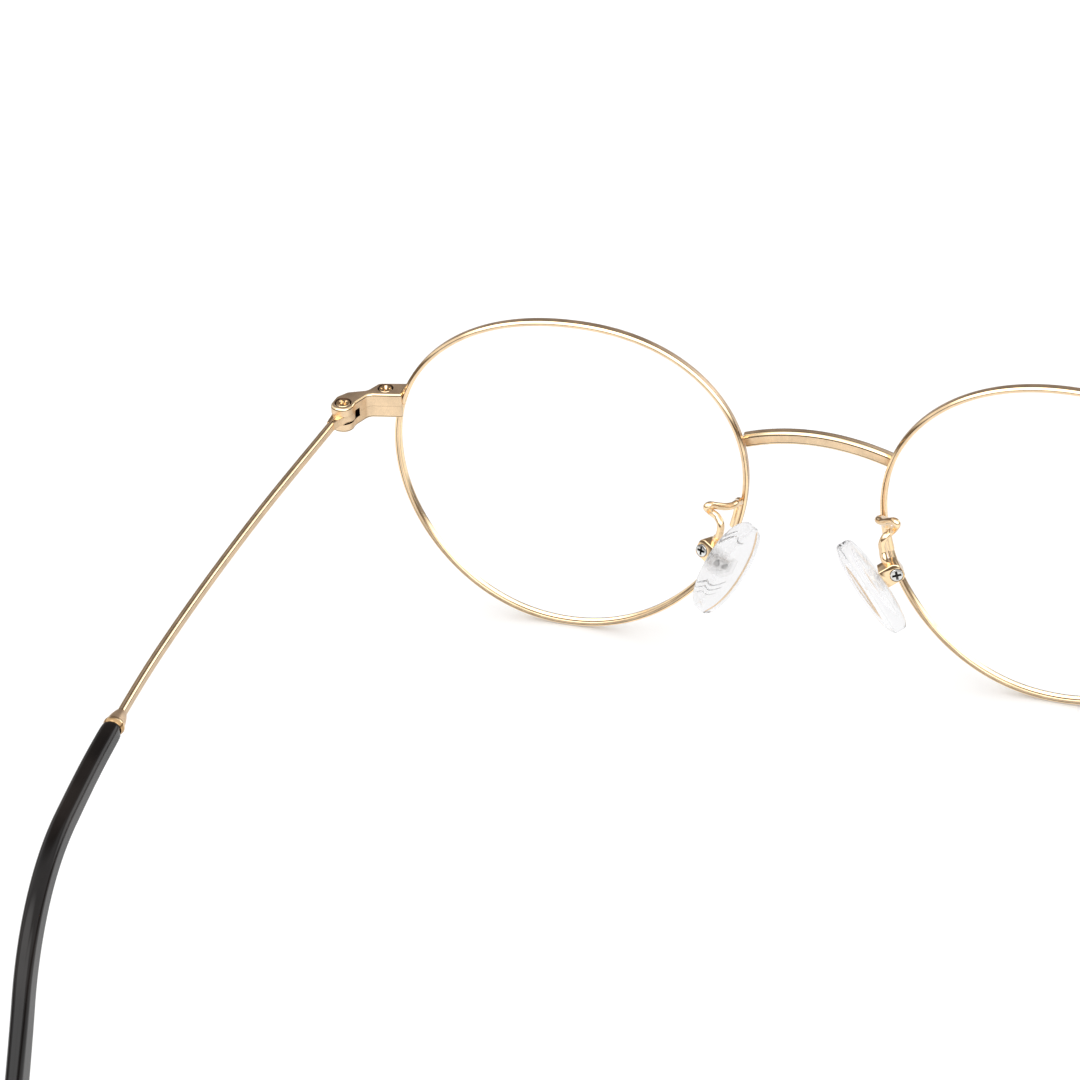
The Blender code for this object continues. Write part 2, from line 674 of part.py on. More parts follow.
def make_pad_box(finish):
    """The U-shaped box that holds the pad's boss. Its frame: x screw axis, y up, z to the nose."""
    above, below = BOX_ABOVE / MM, BOX_BELOW / MM
    outer, inner = BOX_DEPTH_OUT / MM, BOX_DEPTH_IN / MM
    outline = rounded([(above, inner, 0.15), (-below, inner, 0.15), (-below, -outer, 0.7),
                       (above, -outer, 0.9)], 4)
    box = plate("pad_box_left", outline, -BOX_WIDTH / 2, BOX_WIDTH / 2, None, 0.12 * MM)
    box.data.transform(Matrix(((0, 0, 1, 0), (1, 0, 0, 0), (0, 1, 0, 0), (0, 0, 0, 1)))
                       @ Matrix.Translation(box.location))
    box.location = (0, 0, 0)
    slot = BOX_SLOT / 2
    combine(box, block_cutter("slot", (-slot, -5 * MM, -BOSS_RADIUS - 0.08 * MM),
                              (slot, BOX_ABOVE - BOX_WALL, 5 * MM)))
    across = Matrix.Rotation(math.radians(-90.0), 4, "Y")
    for label, radius, low, high in (("shank", 0.46 * MM, -5 * MM, 5 * MM),
                                     ("head", 0.95 * MM, BOX_WIDTH / 2 - 0.35 * MM, 5 * MM)):
        cutter = round_cutter(label, radius, low, high, (0.0, 0.0), None, 20)
        cutter.data.transform(across)
        combine(box, cutter)
    box.parent = PAD_LEFT
    return smooth(paint(box, finish), 30)


def make_pad_screw(finish):
    turn = Matrix.Rotation(math.radians(-90.0), 4, "Y") @ Matrix.Rotation(0.5, 4, "Z")
    place = Vector((-BOX_WIDTH / 2 - 0.12 * MM, 0.0, 0.0))
    screw = make_screw("pad_screw_left", 0.88 * MM, 0.44 * MM, 0.42 * MM, BOX_WIDTH, place, finish, turn)
    screw.parent = PAD_LEFT
    return screw


def make_nose_pad(finish):
    """A soft oval lens-shaped pad, flatter at the back, with a pocket for the insert."""
    mesh = bpy.data.meshes.new("nose_pad_left")
    work = bmesh.new()
    bmesh.ops.create_uvsphere(work, u_segments=24, v_segments=14, radius=1.0)
    for vertex in work.verts:
        x, y, z = vertex.co
        z = math.copysign(abs(z) ** PAD_FULLNESS, z)
        waist = 1.0 + 0.05 * y
        vertex.co = (x * waist * PAD_WIDTH / 2, y * PAD_LENGTH / 2, z * PAD_THICKNESS / 2)
    work.to_mesh(mesh)
    work.free()
    pad = new_object("nose_pad_left", mesh)
    back = -PAD_THICKNESS / 2
    pocket = block_cutter("pocket", (-PLUG_HALF, -PLUG_HALF, back - 1 * MM),
                          (PLUG_HALF, PLUG_HALF, back + PLUG_DEPTH))
    combine(pad, pocket)
    pad.data.transform(Matrix.Translation((0.0, 0.0, PAD_PIVOT_BEHIND)))
    pad.parent = PAD_LEFT
    return smooth(paint(pad, finish), 50)


def make_pad_insert(finish):
    """The stiff plug in the pad's pocket, with the boss that turns on the pad screw."""
    back = PAD_PIVOT_BEHIND - PAD_THICKNESS / 2
    floor, side = back + PLUG_DEPTH - SEAM, PLUG_HALF - SEAM
    insert = block_cutter("pad_insert_left", (-side, -side, back + 0.1 * MM), (side, side, floor))
    radius = BOSS_RADIUS / MM
    arc = [math.radians(a) for a in range(180, 361, 20)]
    outline = [(radius * math.cos(a), radius * math.sin(a)) for a in arc]
    outline += [(radius, (floor - 0.5 * MM) / MM), (-radius, (floor - 0.5 * MM) / MM)]
    half = BOX_SLOT / 2 - 0.08 * MM
    boss = plate("boss", outline, -half, half)
    boss.data.transform(Matrix(((0, 0, 1, 0), (1, 0, 0, 0), (0, 1, 0, 0), (0, 0, 0, 1)))
                        @ Matrix.Translation(boss.location))
    boss.location = (0, 0, 0)
    combine(insert, as_helper(boss), "UNION")
    hole = round_cutter("hole", 0.46 * MM, -5 * MM, 5 * MM, (0.0, 0.0), None, 20)
    hole.data.transform(Matrix.Rotation(math.radians(90.0), 4, "Y"))
    combine(insert, hole)
    CUTTERS.objects.unlink(insert)
    PARTS.objects.link(insert)
    insert.hide_render = False
    insert.display_type = "TEXTURED"
    insert.parent = PAD_LEFT
    return smooth(paint(insert, finish), 30)


# ---------------------------------------------------------------- assembly

def stand_on_floor():
    """Move the whole model so that its origin is under the middle of its box."""
    bpy.context.view_layer.update()
    corners = [part.matrix_world @ vertex.co for part in PARTS.objects if part.type == "MESH"
               for vertex in part.data.vertices]
    low = Vector([min(c[axis] for c in corners) for axis in range(3)])
    high = Vector([max(c[axis] for c in corners) for axis in range(3)])
    ROOT.location = (-(low.x + high.x) / 2, -(low.y + high.y) / 2, -low.z)


def build():
    gold = material("gold_metal", (0.80, 0.58, 0.34), 1.0, 0.30)
    polished = material("polished_gold", (0.92, 0.66, 0.34), 1.0, 0.15)
    steel = material("steel", (0.75, 0.75, 0.74), 1.0, 0.22)
    clear = material("lens_resin", (0.98, 0.99, 0.99), 0.0, 0.02, 1.0)
    silicone = material("clear_silicone", (0.93, 0.94, 0.94), 0.0, 0.15, 0.9)
    insert_resin = material("insert_resin", (0.85, 0.85, 0.84), 0.0, 0.25, 0.6)
    acetate = material("black_acetate", (0.012, 0.010, 0.010), 0.0, 0.12)

    front = [make_rim(gold), make_lens(clear)]
    make_bridge(gold)
    front += [make_block("upper", gold), make_block("lower", gold), *make_block_screws(polished)]
    boxes = [make_pad_box(polished), make_pad_screw(steel)]
    pads = [make_nose_pad(silicone), make_pad_insert(insert_resin)]
    temples = [make_temple(gold), make_ferrule(gold), make_tip(acetate)]
    for side in PAD_POSES:
        make_pad_arm(side, polished)
    for piece in front:
        mirrored(piece, ROOT)
    for piece in boxes + pads:
        mirrored_in_place(piece, PAD_RIGHT)
    for piece in temples:
        mirrored(piece, HINGE_RIGHT)
    stand_on_floor()


build()
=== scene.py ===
"""Photographic looks for the metal eyeglasses: fine surfaces, materials, studio light and camera.

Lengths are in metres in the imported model's frame: +Z up, +Y to the back of the head, +X to the
wearer's left. Design dimensions are in millimetres from the middle of the bridge, as the model's
own source gives them. Pieces are built for the left side and mirrored, apart from the nose pads.
"""
import json
import math

import bmesh
import bpy
from mathutils import Matrix, Vector


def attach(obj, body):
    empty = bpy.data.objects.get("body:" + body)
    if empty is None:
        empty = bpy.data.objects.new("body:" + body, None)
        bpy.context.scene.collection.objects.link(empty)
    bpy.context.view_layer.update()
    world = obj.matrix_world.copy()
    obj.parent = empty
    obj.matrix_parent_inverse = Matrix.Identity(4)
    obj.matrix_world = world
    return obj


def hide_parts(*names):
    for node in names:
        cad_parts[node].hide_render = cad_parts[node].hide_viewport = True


MM = 0.001
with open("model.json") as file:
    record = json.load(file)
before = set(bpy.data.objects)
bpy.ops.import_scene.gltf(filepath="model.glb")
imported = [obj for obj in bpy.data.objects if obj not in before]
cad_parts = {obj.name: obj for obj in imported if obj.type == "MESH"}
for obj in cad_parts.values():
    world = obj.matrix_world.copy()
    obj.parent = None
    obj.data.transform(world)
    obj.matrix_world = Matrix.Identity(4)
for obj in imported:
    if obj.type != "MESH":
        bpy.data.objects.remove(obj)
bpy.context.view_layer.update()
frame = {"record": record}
JOINTS = {joint["name"]: joint for joint in frame["record"]["behaviour"]["joints"]}

# Dimensions of the glasses in millimetres
LENS_WIDTH = 48.0
LENS_HEIGHT = 45.9
LENS_GAP = 19.0
LENS_ROUNDNESS = 2.07
LENS_TRIANGLE = 0.029
LENS_SKEW = -0.010
LENS_BASE_RADIUS = 108.0
LENS_HALF_THICKNESS = 0.605
FRONT_LEAN = math.radians(3.0)
FACE_FORM = math.radians(1.0)
RIM_INSIDE = -0.30
RIM_OUTSIDE = 0.445
RIM_HALF_DEPTH = 0.625
RIM_SPLIT_ANGLE = math.radians(18.2)
RIM_SPLIT_GAP = 0.10
HINGE = Vector((63.45, 7.60, 7.65))
BLOCK_HALF_HEIGHT = 1.85
CLOSING_SCREW = Vector((59.15, 2.70))
WIRE_START = 1.9
FERRULE_START = 69.0
TIP_BEND_START = 88.9
TIP_BEND_RADIUS = 26.0
TIP_BEND_ANGLE = math.radians(50.3)
# (distance behind the hinge, distance outwards) along a temple
BOW = ((0.0, 0.4), (28.0, 2.4), (56.0, 3.1), (76.0, 2.25), (92.0, 0.6), (115.0, -2.2),
       (140.0, -4.6))
PAD_LENGTH = 15.2
PAD_WIDTH = 8.4
PAD_THICKNESS = 3.1
PAD_PIVOT_BEHIND = 3.8
PAD_SQUARENESS = 2 / 2.12
PAD_UPPER_PART = 0.94
PAD_PROFILE_POWER = 0.36
RIB_RADIUS = 9.0
RIB_WIDTH = 0.10
RIB_DEPTH = 0.16
RIB_PLACES = (3.3, 4.1, 4.9)
RIB_SHORTENING = 0.22
RIB_TURNS = tuple(0.04 * step for step in range(-5, 6))
# The middle of each pad as (x, y, z), then its roof, splay and front angles in degrees
PAD_POSES = {"left": ((9.59, 11.14, -5.22), 21.2, 27.1, -3.2),
             "right": ((9.65, 10.92, -4.90), 32.4, 18.5, 4.8)}
# Points along the wires of the pad arms, from the foot on the rim to the pad's box
ARM_ROUTES = {
    "left": ((9.84, 4.5, 0.53), (9.79, 5.6, 1.09), (10.05, 6.6, 1.38), (10.75, 7.45, 1.68),
             (11.75, 8.54, 2.37), (12.32, 9.3, 2.86), (12.67, 9.5, 2.57), (12.33, 9.0, 1.69),
             (11.46, 8.95, 0.99), (10.82, 9.55, 0.45), (10.74, 9.75, -0.43), (11.0, 9.65, -1.54)),
    "right": ((9.56, 4.5, 1.32), (9.4, 5.6, 2.05), (9.53, 6.6, 2.5), (10.28, 7.45, 2.95),
              (11.34, 8.54, 3.93), (12.14, 9.3, 4.56), (12.5, 9.5, 4.29), (12.11, 9.0, 3.22),
              (11.54, 8.95, 2.44), (11.02, 9.55, 2.05), (10.71, 9.75, 1.02), (10.83, 9.65, -0.08))}
ARM_ENTRY = {"left": 0.6, "right": 0.3}
ARM_RADIUS = 0.49
# The wire of a pad arm swells by this part round one point of its route
BRAZE_SWELL = 0.30
BRAZE_PLACE = 29
BRAZE_SPREAD = 5.0
BOX_HALF_WIDTH = 1.10
PAD_SCREW_SHANK = 0.46
# Edges sharper than this many degrees aren't shaded smooth
SHARP_ANGLE = 30.0
METAL_SHARP = 25.0

# Frames of the pieces, in metres
ORIGIN = Vector(JOINTS["temple_hinge_left"]["pos_m"]) - HINGE * MM
ROOT = Matrix.Translation(ORIGIN) @ Matrix.Scale(MM, 4)
LENS_FRAME = (ROOT @ Matrix.Rotation(FRONT_LEAN, 4, "X")
              @ Matrix.Translation(((LENS_WIDTH + LENS_GAP) / 2, 0.0, 0.0))
              @ Matrix.Rotation(FACE_FORM, 4, "Z") @ Matrix.Rotation(math.radians(90.0), 4, "X"))
LENS_TO_ROOT = ROOT.inverted() @ LENS_FRAME
HINGE_FRAME = ROOT @ Matrix.Translation(HINGE)
FLIP = Matrix.Scale(-1.0, 4, Vector((1.0, 0.0, 0.0)))


# ---------------------------------------------------------------- shapes

def lens_radius(angle):
    """From the lens's centre to its edge: an oval with a slight triangle and skew."""
    across = abs(math.cos(angle)) / (LENS_WIDTH / 2)
    up = abs(math.sin(angle)) / (LENS_HEIGHT / 2)
    oval = (across ** LENS_ROUNDNESS + up ** LENS_ROUNDNESS) ** (-1 / LENS_ROUNDNESS)
    return oval * (1 + LENS_TRIANGLE * math.sin(3 * angle) + LENS_SKEW * math.sin(2 * angle))


def lens_edge(angle, outwards=0.0, backwards=0.0):
    """A point beside the lens edge in the lens's frame: x to the temple, y up, z forwards."""
    step = 0.01
    here = lens_radius(angle) * Vector((math.cos(angle), math.sin(angle)))
    ahead = lens_radius(angle + step) * Vector((math.cos(angle + step), math.sin(angle + step)))
    along = (ahead - here).normalized()
    place = here + Vector((along.y, -along.x)) * outwards
    return Vector((place.x, place.y, -place.length_squared / (2 * LENS_BASE_RADIUS) - backwards))


def smooth_through(knots, position):
    """The value at a position on a smooth curve through (position, value) knots."""
    last = len(knots) - 2
    index = max(i for i in range(last + 1) if i == 0 or knots[i][0] <= position)
    span = knots[index + 1][0] - knots[index][0]
    part = (position - knots[index][0]) / span

    def slope(i):
        low, high = max(i - 1, 0), min(i + 1, last + 1)
        return (knots[high][1] - knots[low][1]) / (knots[high][0] - knots[low][0])

    start, end = knots[index][1], knots[index + 1][1]
    return ((2 * part ** 3 - 3 * part ** 2 + 1) * start + (3 * part ** 2 - 2 * part ** 3) * end
            + (part ** 3 - 2 * part ** 2 + part) * span * slope(index)
            + (part ** 3 - part ** 2) * span * slope(index + 1))


def smooth_route(points, per_gap):
    """Points along a smooth curve through the given ones, per_gap for each gap."""
    knots = [[(i, p[axis]) for i, p in enumerate(points)] for axis in range(3)]
    count = (len(points) - 1) * per_gap
    return [Vector([smooth_through(knots[axis], i / per_gap) for axis in range(3)])
            for i in range(count + 1)]


def temple_centre(distance):
    """Centre line of the left temple at a distance behind the hinge, in the hinge's frame."""
    past_bend = max(0.0, distance - TIP_BEND_START)
    angle = min(past_bend / TIP_BEND_RADIUS, TIP_BEND_ANGLE)
    straight = past_bend - TIP_BEND_RADIUS * angle
    run = min(distance, TIP_BEND_START) + TIP_BEND_RADIUS * math.sin(angle)
    run += straight * math.cos(angle)
    drop = TIP_BEND_RADIUS * (1 - math.cos(angle)) + straight * math.sin(angle)
    return Vector((smooth_through(BOW, distance), run, -drop))


def temple_axes(distance):
    """Outward and up directions of the left temple at a distance behind the hinge."""
    step = 0.2
    ahead, behind = temple_centre(distance + step), temple_centre(max(0.0, distance - step))
    along = (ahead - behind).normalized()
    side = along.cross(Vector((0, 0, 1))).normalized()
    return side, side.cross(along)


def pad_frame(side):
    """The hinge of a pad as if on the left: x along the hinge, y up the pad, z out of its face."""
    centre, roof, splay, front = PAD_POSES[side]
    roof, splay, front = math.radians(roof), math.radians(splay), math.radians(front)
    long_axis = Vector((-math.sin(roof) * math.cos(front), math.sin(front),
                        math.cos(roof) * math.cos(front)))
    normal = Vector((-math.cos(splay), math.sin(splay), 0.0))
    normal -= long_axis * normal.dot(long_axis)
    normal.normalize()
    turn = Matrix((long_axis.cross(normal), long_axis, normal)).transposed().to_4x4()
    return Matrix.Translation(Vector(centre)) @ turn @ Matrix.Translation((0, 0, -PAD_PIVOT_BEHIND))


def place_for(side):
    """Takes a point of the left pad's frame to where that side's pad is."""
    left = ROOT @ pad_frame(side)
    return left if side == "left" else FLIP @ left


# ---------------------------------------------------------------- mesh tools


def declare(piece, body, nodes):
    """Which body a piece rides on and which nodes it stands for."""
    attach(piece, body)
    if nodes:
        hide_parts(*nodes)
    return piece


def linked(name, mesh):
    """An object for a mesh, in the scene."""
    thing = bpy.data.objects.new(name, mesh)
    bpy.context.scene.collection.objects.link(thing)
    return thing


def finished(name, work, finishes, place, body, nodes=(), sharp=SHARP_ANGLE):
    """A piece from a bmesh in its own millimetre frame, riding on a body."""
    bmesh.ops.remove_doubles(work, verts=work.verts, dist=0.0005)
    bmesh.ops.recalc_face_normals(work, faces=work.faces)
    mesh = bpy.data.meshes.new(name)
    work.to_mesh(mesh)
    work.free()
    mesh.transform(place)
    if place.determinant() < 0:
        mesh.flip_normals()
    for finish in finishes:
        mesh.materials.append(finish)
    mesh.shade_smooth()
    mesh.set_sharp_from_angle(angle=math.radians(sharp))
    return declare(linked(name, mesh), body, nodes)


def pair(name, work, finishes, place, body, nodes=(), sharp=SHARP_ANGLE):
    """A left-hand piece and its mirror image. {} in body and nodes stands for the side."""
    left = finished(name + "_left", work, finishes, place, body.format("left"),
                    [node.format("left") for node in nodes], sharp)
    mesh = left.data.copy()
    mesh.transform(FLIP)
    mesh.flip_normals()
    declare(linked(name + "_right", mesh), body.format("right"),
            [node.format("right") for node in nodes])


def skin(rings, finish_of=None):
    """A closed bmesh over rings of equal size. finish_of(edge, ring) picks a face's material."""
    work = bmesh.new()
    loops = [[work.verts.new(point) for point in ring] for ring in rings]
    count, spans = len(rings[0]), len(rings) - 1
    for row in range(spans):
        near, far = loops[row], loops[row + 1]
        for i in range(count):
            j = (i + 1) % count
            face = work.faces.new((near[i], near[j], far[j], far[i]))
            face.material_index = finish_of(i, row) if finish_of else 0
    for loop, row in ((loops[0][::-1], 0), (loops[-1], spans)):
        face = work.faces.new(loop)
        face.material_index = finish_of(0, row) if finish_of else 0
    return work


def by_edge(finishes):
    """Picks a face's metal by the edge of the section that it runs along."""
    return lambda edge, row: METALS.index(finishes[edge])


def circle(radius, height, segments):
    """Points of a circle about Z."""
    turns = [2 * math.pi * i / segments for i in range(segments)]
    return [Vector((radius * math.cos(t), radius * math.sin(t), height)) for t in turns]


def rounded(corners, steps):
    """Points of an outline whose corners (x, y, radius) are rounded by arcs."""
    points = []
    for index, (x, y, radius) in enumerate(corners):
        here = Vector((x, y))
        if radius == 0:
            points.append(here)
            continue
        before = (Vector(corners[index - 1][:2]) - here).normalized()
        after = (Vector(corners[(index + 1) % len(corners)][:2]) - here).normalized()
        half = before.angle(after) / 2
        centre = here + (before + after).normalized() * (radius / math.sin(half))
        start = here + before * (radius / math.tan(half)) - centre
        turn = start.angle_signed(here + after * (radius / math.tan(half)) - centre)
        for step in range(steps + 1):
            points.append(centre + Matrix.Rotation(-turn * step / steps, 2) @ start)
    return points


def inset(outline, distance):
    """The outline moved inwards, for an outline that runs anticlockwise."""
    points = []
    for index, here in enumerate(outline):
        before = (here - outline[index - 1]).normalized()
        after = (outline[(index + 1) % len(outline)] - here).normalized()
        normal = Vector((-before.y - after.y, before.x + after.x)).normalized()
        slant = max(0.5, normal.dot(Vector((-before.y, before.x))))
        points.append(here + normal * (distance / slant))
    return points


def prism(outline, low, high, steps, finish_of=None):
    """An outline pulled up between two heights. steps are (distance from the end, inset) pairs."""
    rings = []
    for away, inwards in steps:
        rings.append([Vector((p.x, p.y, low + away)) for p in inset(outline, inwards)])
    for away, inwards in reversed(steps):
        rings.append([Vector((p.x, p.y, high - away)) for p in inset(outline, inwards)])
    return skin(rings, finish_of)


def lathe(profile, segments):
    """A profile of (radius, height), turned about Z. It runs from the top axis to the bottom."""
    on_axis = 0.0001
    return skin([circle(max(radius, on_axis), height, segments) for radius, height in profile])


def rod(radius, top, bottom, segments=32):
    """A plain cylinder about Z, used as a cutter."""
    return lathe([(0, top), (radius, top), (radius, bottom), (0, bottom)], segments)


def moved(work, matrix):
    """The bmesh, moved by a matrix."""
    bmesh.ops.transform(work, matrix=matrix, verts=work.verts)
    return work


def cut(work, cutters):
    """The bmesh minus other bmeshes, all in one frame."""
    def as_object(source, name):
        mesh = bpy.data.meshes.new(name)
        bmesh.ops.recalc_face_normals(source, faces=source.faces)
        source.to_mesh(mesh)
        source.free()
        return linked(name, mesh)

    target = as_object(work, "cut_target")
    knives = [as_object(cutter, "cut_knife") for cutter in cutters]
    for knife in knives:
        modifier = target.modifiers.new("cut", "BOOLEAN")
        modifier.object = knife
        modifier.solver = "EXACT"
    bpy.context.view_layer.update()
    result = bmesh.new()
    evaluated = target.evaluated_get(bpy.context.evaluated_depsgraph_get())
    result.from_mesh(evaluated.to_mesh())
    for thing in [target, *knives]:
        mesh = thing.data
        bpy.data.objects.remove(thing, do_unlink=True)
        bpy.data.meshes.remove(mesh)
    return result


def block(low, high):
    """A box between two corners, used as a cutter or to be cut."""
    work = bmesh.new()
    low, high = Vector(low), Vector(high)
    bmesh.ops.create_cube(work, size=1.0)
    bmesh.ops.scale(work, vec=high - low, verts=work.verts)
    bmesh.ops.translate(work, vec=(low + high) / 2, verts=work.verts)
    return work


def with_finish(work, index):
    """The bmesh with one material on all its faces, which a cutter leaves on the cut."""
    for face in work.faces:
        face.material_index = index
    return work


# ---------------------------------------------------------------- materials

class Nodes:
    """A short hand for building node trees."""

    def __init__(self, tree):
        self.tree = tree

    def fill(self, node, inputs):
        """Sets a node's inputs to values, or links them to the outputs of other nodes."""
        for key, value in dict(inputs).items():
            if isinstance(value, bpy.types.NodeSocket):
                self.tree.links.new(value, node.inputs[key])
            else:
                node.inputs[key].default_value = value
        return node

    def add(self, kind, inputs=(), **settings):
        node = self.tree.nodes.new(kind)
        for key, value in settings.items():
            setattr(node, key, value)
        return self.fill(node, inputs)

    def math(self, operation, *values):
        return self.add("ShaderNodeMath", enumerate(values), operation=operation).outputs[0]

    def product(self, *values):
        total = values[0]
        for value in values[1:]:
            total = self.math("MULTIPLY", total, value)
        return total

    def ramp(self, value, low, high):
        """Smoothly from 0 where the value is low to 1 where it is high."""
        return self.add("ShaderNodeMapRange", {"Value": value, "From Min": low, "From Max": high},
                        interpolation_type="SMOOTHSTEP").outputs["Result"]

    def spread(self, value, low, high):
        """A value between 0 and 1, spread between low and high."""
        return self.add("ShaderNodeMapRange",
                        {"Value": value, "To Min": low, "To Max": high}).outputs["Result"]

    def mix(self, part, first, second):
        return self.add("ShaderNodeMix", {0: part, 6: first, 7: second},
                        data_type="RGBA").outputs[2]

    def noise(self, scale, detail=2.0, roughness=0.5):
        """Noise over the object's own coordinates, which are in metres."""
        place = self.add("ShaderNodeTexCoord").outputs["Object"]
        return self.add("ShaderNodeTexNoise", {"Vector": place, "Scale": scale, "Detail": detail,
                                               "Roughness": roughness}).outputs["Fac"]


def new_material(name):
    """A material, its node builder and its main shader."""
    finish = bpy.data.materials.new(name)
    finish.use_nodes = True
    return finish, Nodes(finish.node_tree), finish.node_tree.nodes["Principled BSDF"]


def rgba(colour):
    """A colour with full alpha."""
    return (*colour, 1.0)


def metal(name, colour, roughness, grain=0.0, grain_size=0.12, wear=0.06):
    """Gold plating: a little colour and gloss variation, and a blasted grain on the satin faces."""
    finish, nodes, shader = new_material(name)
    cloud = nodes.noise(420.0, 3.0)
    deep = [c * (1 - 2.2 * wear) for c in colour]
    pale = [min(1.0, c * (1 + wear)) for c in colour]
    shade = nodes.mix(nodes.ramp(cloud, 0.3, 0.7), rgba(deep), rgba(pale))
    if grain:
        speck = nodes.noise(1000.0 / grain_size, roughness=0.6)
        pit = nodes.mix(0.30 * grain, shade, rgba([c * 0.45 for c in colour]))
        shade = nodes.mix(nodes.ramp(speck, 0.35, 0.65), pit, shade)
        bump = nodes.add("ShaderNodeBump", {"Strength": 0.35 * grain, "Distance": 0.00003,
                                            "Height": speck})
        nodes.fill(shader, {"Normal": bump.outputs["Normal"]})
    gloss = nodes.spread(cloud, roughness * 0.85, roughness * 1.15)
    nodes.fill(shader, {"Base Color": shade, "Metallic": 1.0, "Roughness": gloss})
    return finish


def clear(name, colour, ior, roughness, alpha=1.0, transmission=1.0):
    """Clear, frosted or milky plastic and silicone, with slight variation in gloss."""
    finish, nodes, shader = new_material(name)
    gloss = nodes.spread(nodes.noise(300.0), roughness * 0.7, roughness * 1.3)
    nodes.fill(shader, {"Roughness": gloss, "Base Color": rgba(colour), "IOR": ior,
                        "Transmission Weight": transmission, "Alpha": alpha})
    return finish


def acetate():
    """Polished black acetate with faint brown clouds."""
    finish, nodes, shader = new_material("black_acetate")
    cloud = nodes.ramp(nodes.noise(90.0, 4.0), 0.35, 0.65)
    shade = nodes.mix(cloud, (0.006, 0.005, 0.005, 1.0), (0.016, 0.013, 0.012, 1.0))
    gloss = nodes.spread(nodes.noise(1800.0), 0.07, 0.14)
    nodes.fill(shader, {"Base Color": shade, "Roughness": gloss, "IOR": 1.34})
    return finish


SATIN = metal("gold_satin", (0.88, 0.66, 0.43), 0.36, grain=0.8)
TOP_SATIN = metal("gold_fine_satin", (0.88, 0.67, 0.47), 0.42, grain=0.8, grain_size=0.14)
POLISH = metal("gold_polished", (0.93, 0.72, 0.45), 0.10, wear=0.04)
BRIGHT = metal("gold_bright", (0.93, 0.69, 0.43), 0.07, wear=0.04)
# Near-black gold: painted dark reflection lines beside the polished chamfers, and painted shade on
# the walls of slots, bores, sinks and the ferrule's end face
PAINTED_DARK = metal("gold_painted_dark_lines_and_shade", (0.060, 0.033, 0.019), 0.26)
# Darker gold: painted shade on the underside of the ferrule's lip
PAINTED_SHADE_GOLD = metal("gold_painted_shade", (0.62, 0.40, 0.20), 0.20)
METALS = [SATIN, POLISH, PAINTED_DARK, TOP_SATIN, BRIGHT, PAINTED_SHADE_GOLD]
STEEL = metal("steel_screw", (0.72, 0.72, 0.70), 0.16, wear=0.08)
RECESS = metal("recess_shade", (0.045, 0.042, 0.040), 0.45)
LENS = clear("lens_resin", (1.0, 1.0, 1.0), 1.45, 0.01, alpha=0.03, transmission=0.0)
SILICONE = clear("clear_silicone", (0.86, 0.86, 0.87), 1.20, 0.10)
# Groove walls of the pads: frosted, and grey as painted shade in the grooves
RIB_PAINTED_SHADE = clear("frosted_rib_painted_shade", (0.50, 0.50, 0.51), 1.20, 0.4, transmission=0.6)
INSERT = clear("insert_resin", (0.90, 0.89, 0.88), 1.45, 0.20, alpha=0.13, transmission=0.0)
BOSS = clear("milky_boss", (0.95, 0.94, 0.93), 1.45, 0.30, transmission=0.0)
ACETATE = acetate()


# ---------------------------------------------------------------- rims, lenses, bridge

def rim_section():
    """(outwards, backwards) points round the grooved rim wire, and each edge's finish. Two thin
    strips by the outer rear chamfer are painted dark reflection lines.
    """
    half, out, inn = RIM_HALF_DEPTH, RIM_OUTSIDE, RIM_INSIDE
    rear = [(inn, 0.30), (inn, half - 0.12), (inn + 0.04, half - 0.04), (inn + 0.12, half),
            (out - 0.36, half), (out - 0.28, half - 0.015), (out - 0.13, half - 0.13),
            (out - 0.015, half - 0.26), (out, half - 0.38)]
    front = [(out, 0.13 - half), (out - 0.03, 0.05 - half), (out - 0.12, 0.035 - half),
             (inn + 0.12, 0.035 - half), (inn + 0.04, 0.05 - half), (inn, 0.13 - half),
             (inn, -0.30)]
    groove = [(inn + 0.33, 0.0)]
    finishes = [BRIGHT, BRIGHT, BRIGHT, SATIN, PAINTED_DARK, BRIGHT, BRIGHT, PAINTED_DARK, TOP_SATIN, POLISH,
                POLISH, SATIN, BRIGHT, BRIGHT, BRIGHT, POLISH, POLISH]
    return rear + front + groove, finishes


def make_rims():
    """The rims, each open by a hair at the end piece."""
    section, finishes = rim_section()
    half_split = RIM_SPLIT_GAP / 2 / lens_radius(RIM_SPLIT_ANGLE)
    steps = 300
    angles = [RIM_SPLIT_ANGLE + half_split + (2 * math.pi - 2 * half_split) * i / steps
              for i in range(steps + 1)]
    rings = [[lens_edge(a, u, v) for u, v in section] for a in angles]
    work = skin(rings, by_edge(finishes))
    pair("rim", work, METALS, LENS_FRAME, "front", ["eyewire_{}"], METAL_SHARP)


def make_lenses():
    """A meniscus with a bevelled edge that sits in the rim's groove."""
    half, clearance, bevel = LENS_HALF_THICKNESS, 0.12, 0.24
    bands, steps, on_axis = 12, 120, 0.0002
    profile = [(i / bands, half) for i in range(bands)]
    profile += [(0.985, half), (0.990, bevel), (1.0, 0.0), (0.990, -bevel), (0.985, -half)]
    profile += [(i / bands, -half) for i in reversed(range(bands))]
    rings = []
    for part, thick in profile:
        ring = []
        for i in range(steps):
            angle = 2 * math.pi * i / steps
            reach = (lens_radius(angle) - clearance) * max(part, on_axis)
            ring.append(Vector((reach * math.cos(angle), reach * math.sin(angle),
                                thick - reach ** 2 / (2 * LENS_BASE_RADIUS))))
        rings.append(ring)
    pair("lens_disc", skin(rings), [LENS], LENS_FRAME, "front", ["lens_{}"], 40)


def rim_body(outwards, back, front, place):
    """A closed solid over the lens outline, to fit neighbours against the rim."""
    steps = 180
    ring = [lens_edge(2 * math.pi * i / steps, outwards) for i in range(steps)]
    work = skin([[Vector((p.x, p.y, p.z - back)) for p in ring],
                 [Vector((p.x, p.y, p.z + front)) for p in ring]])
    return moved(work, place)


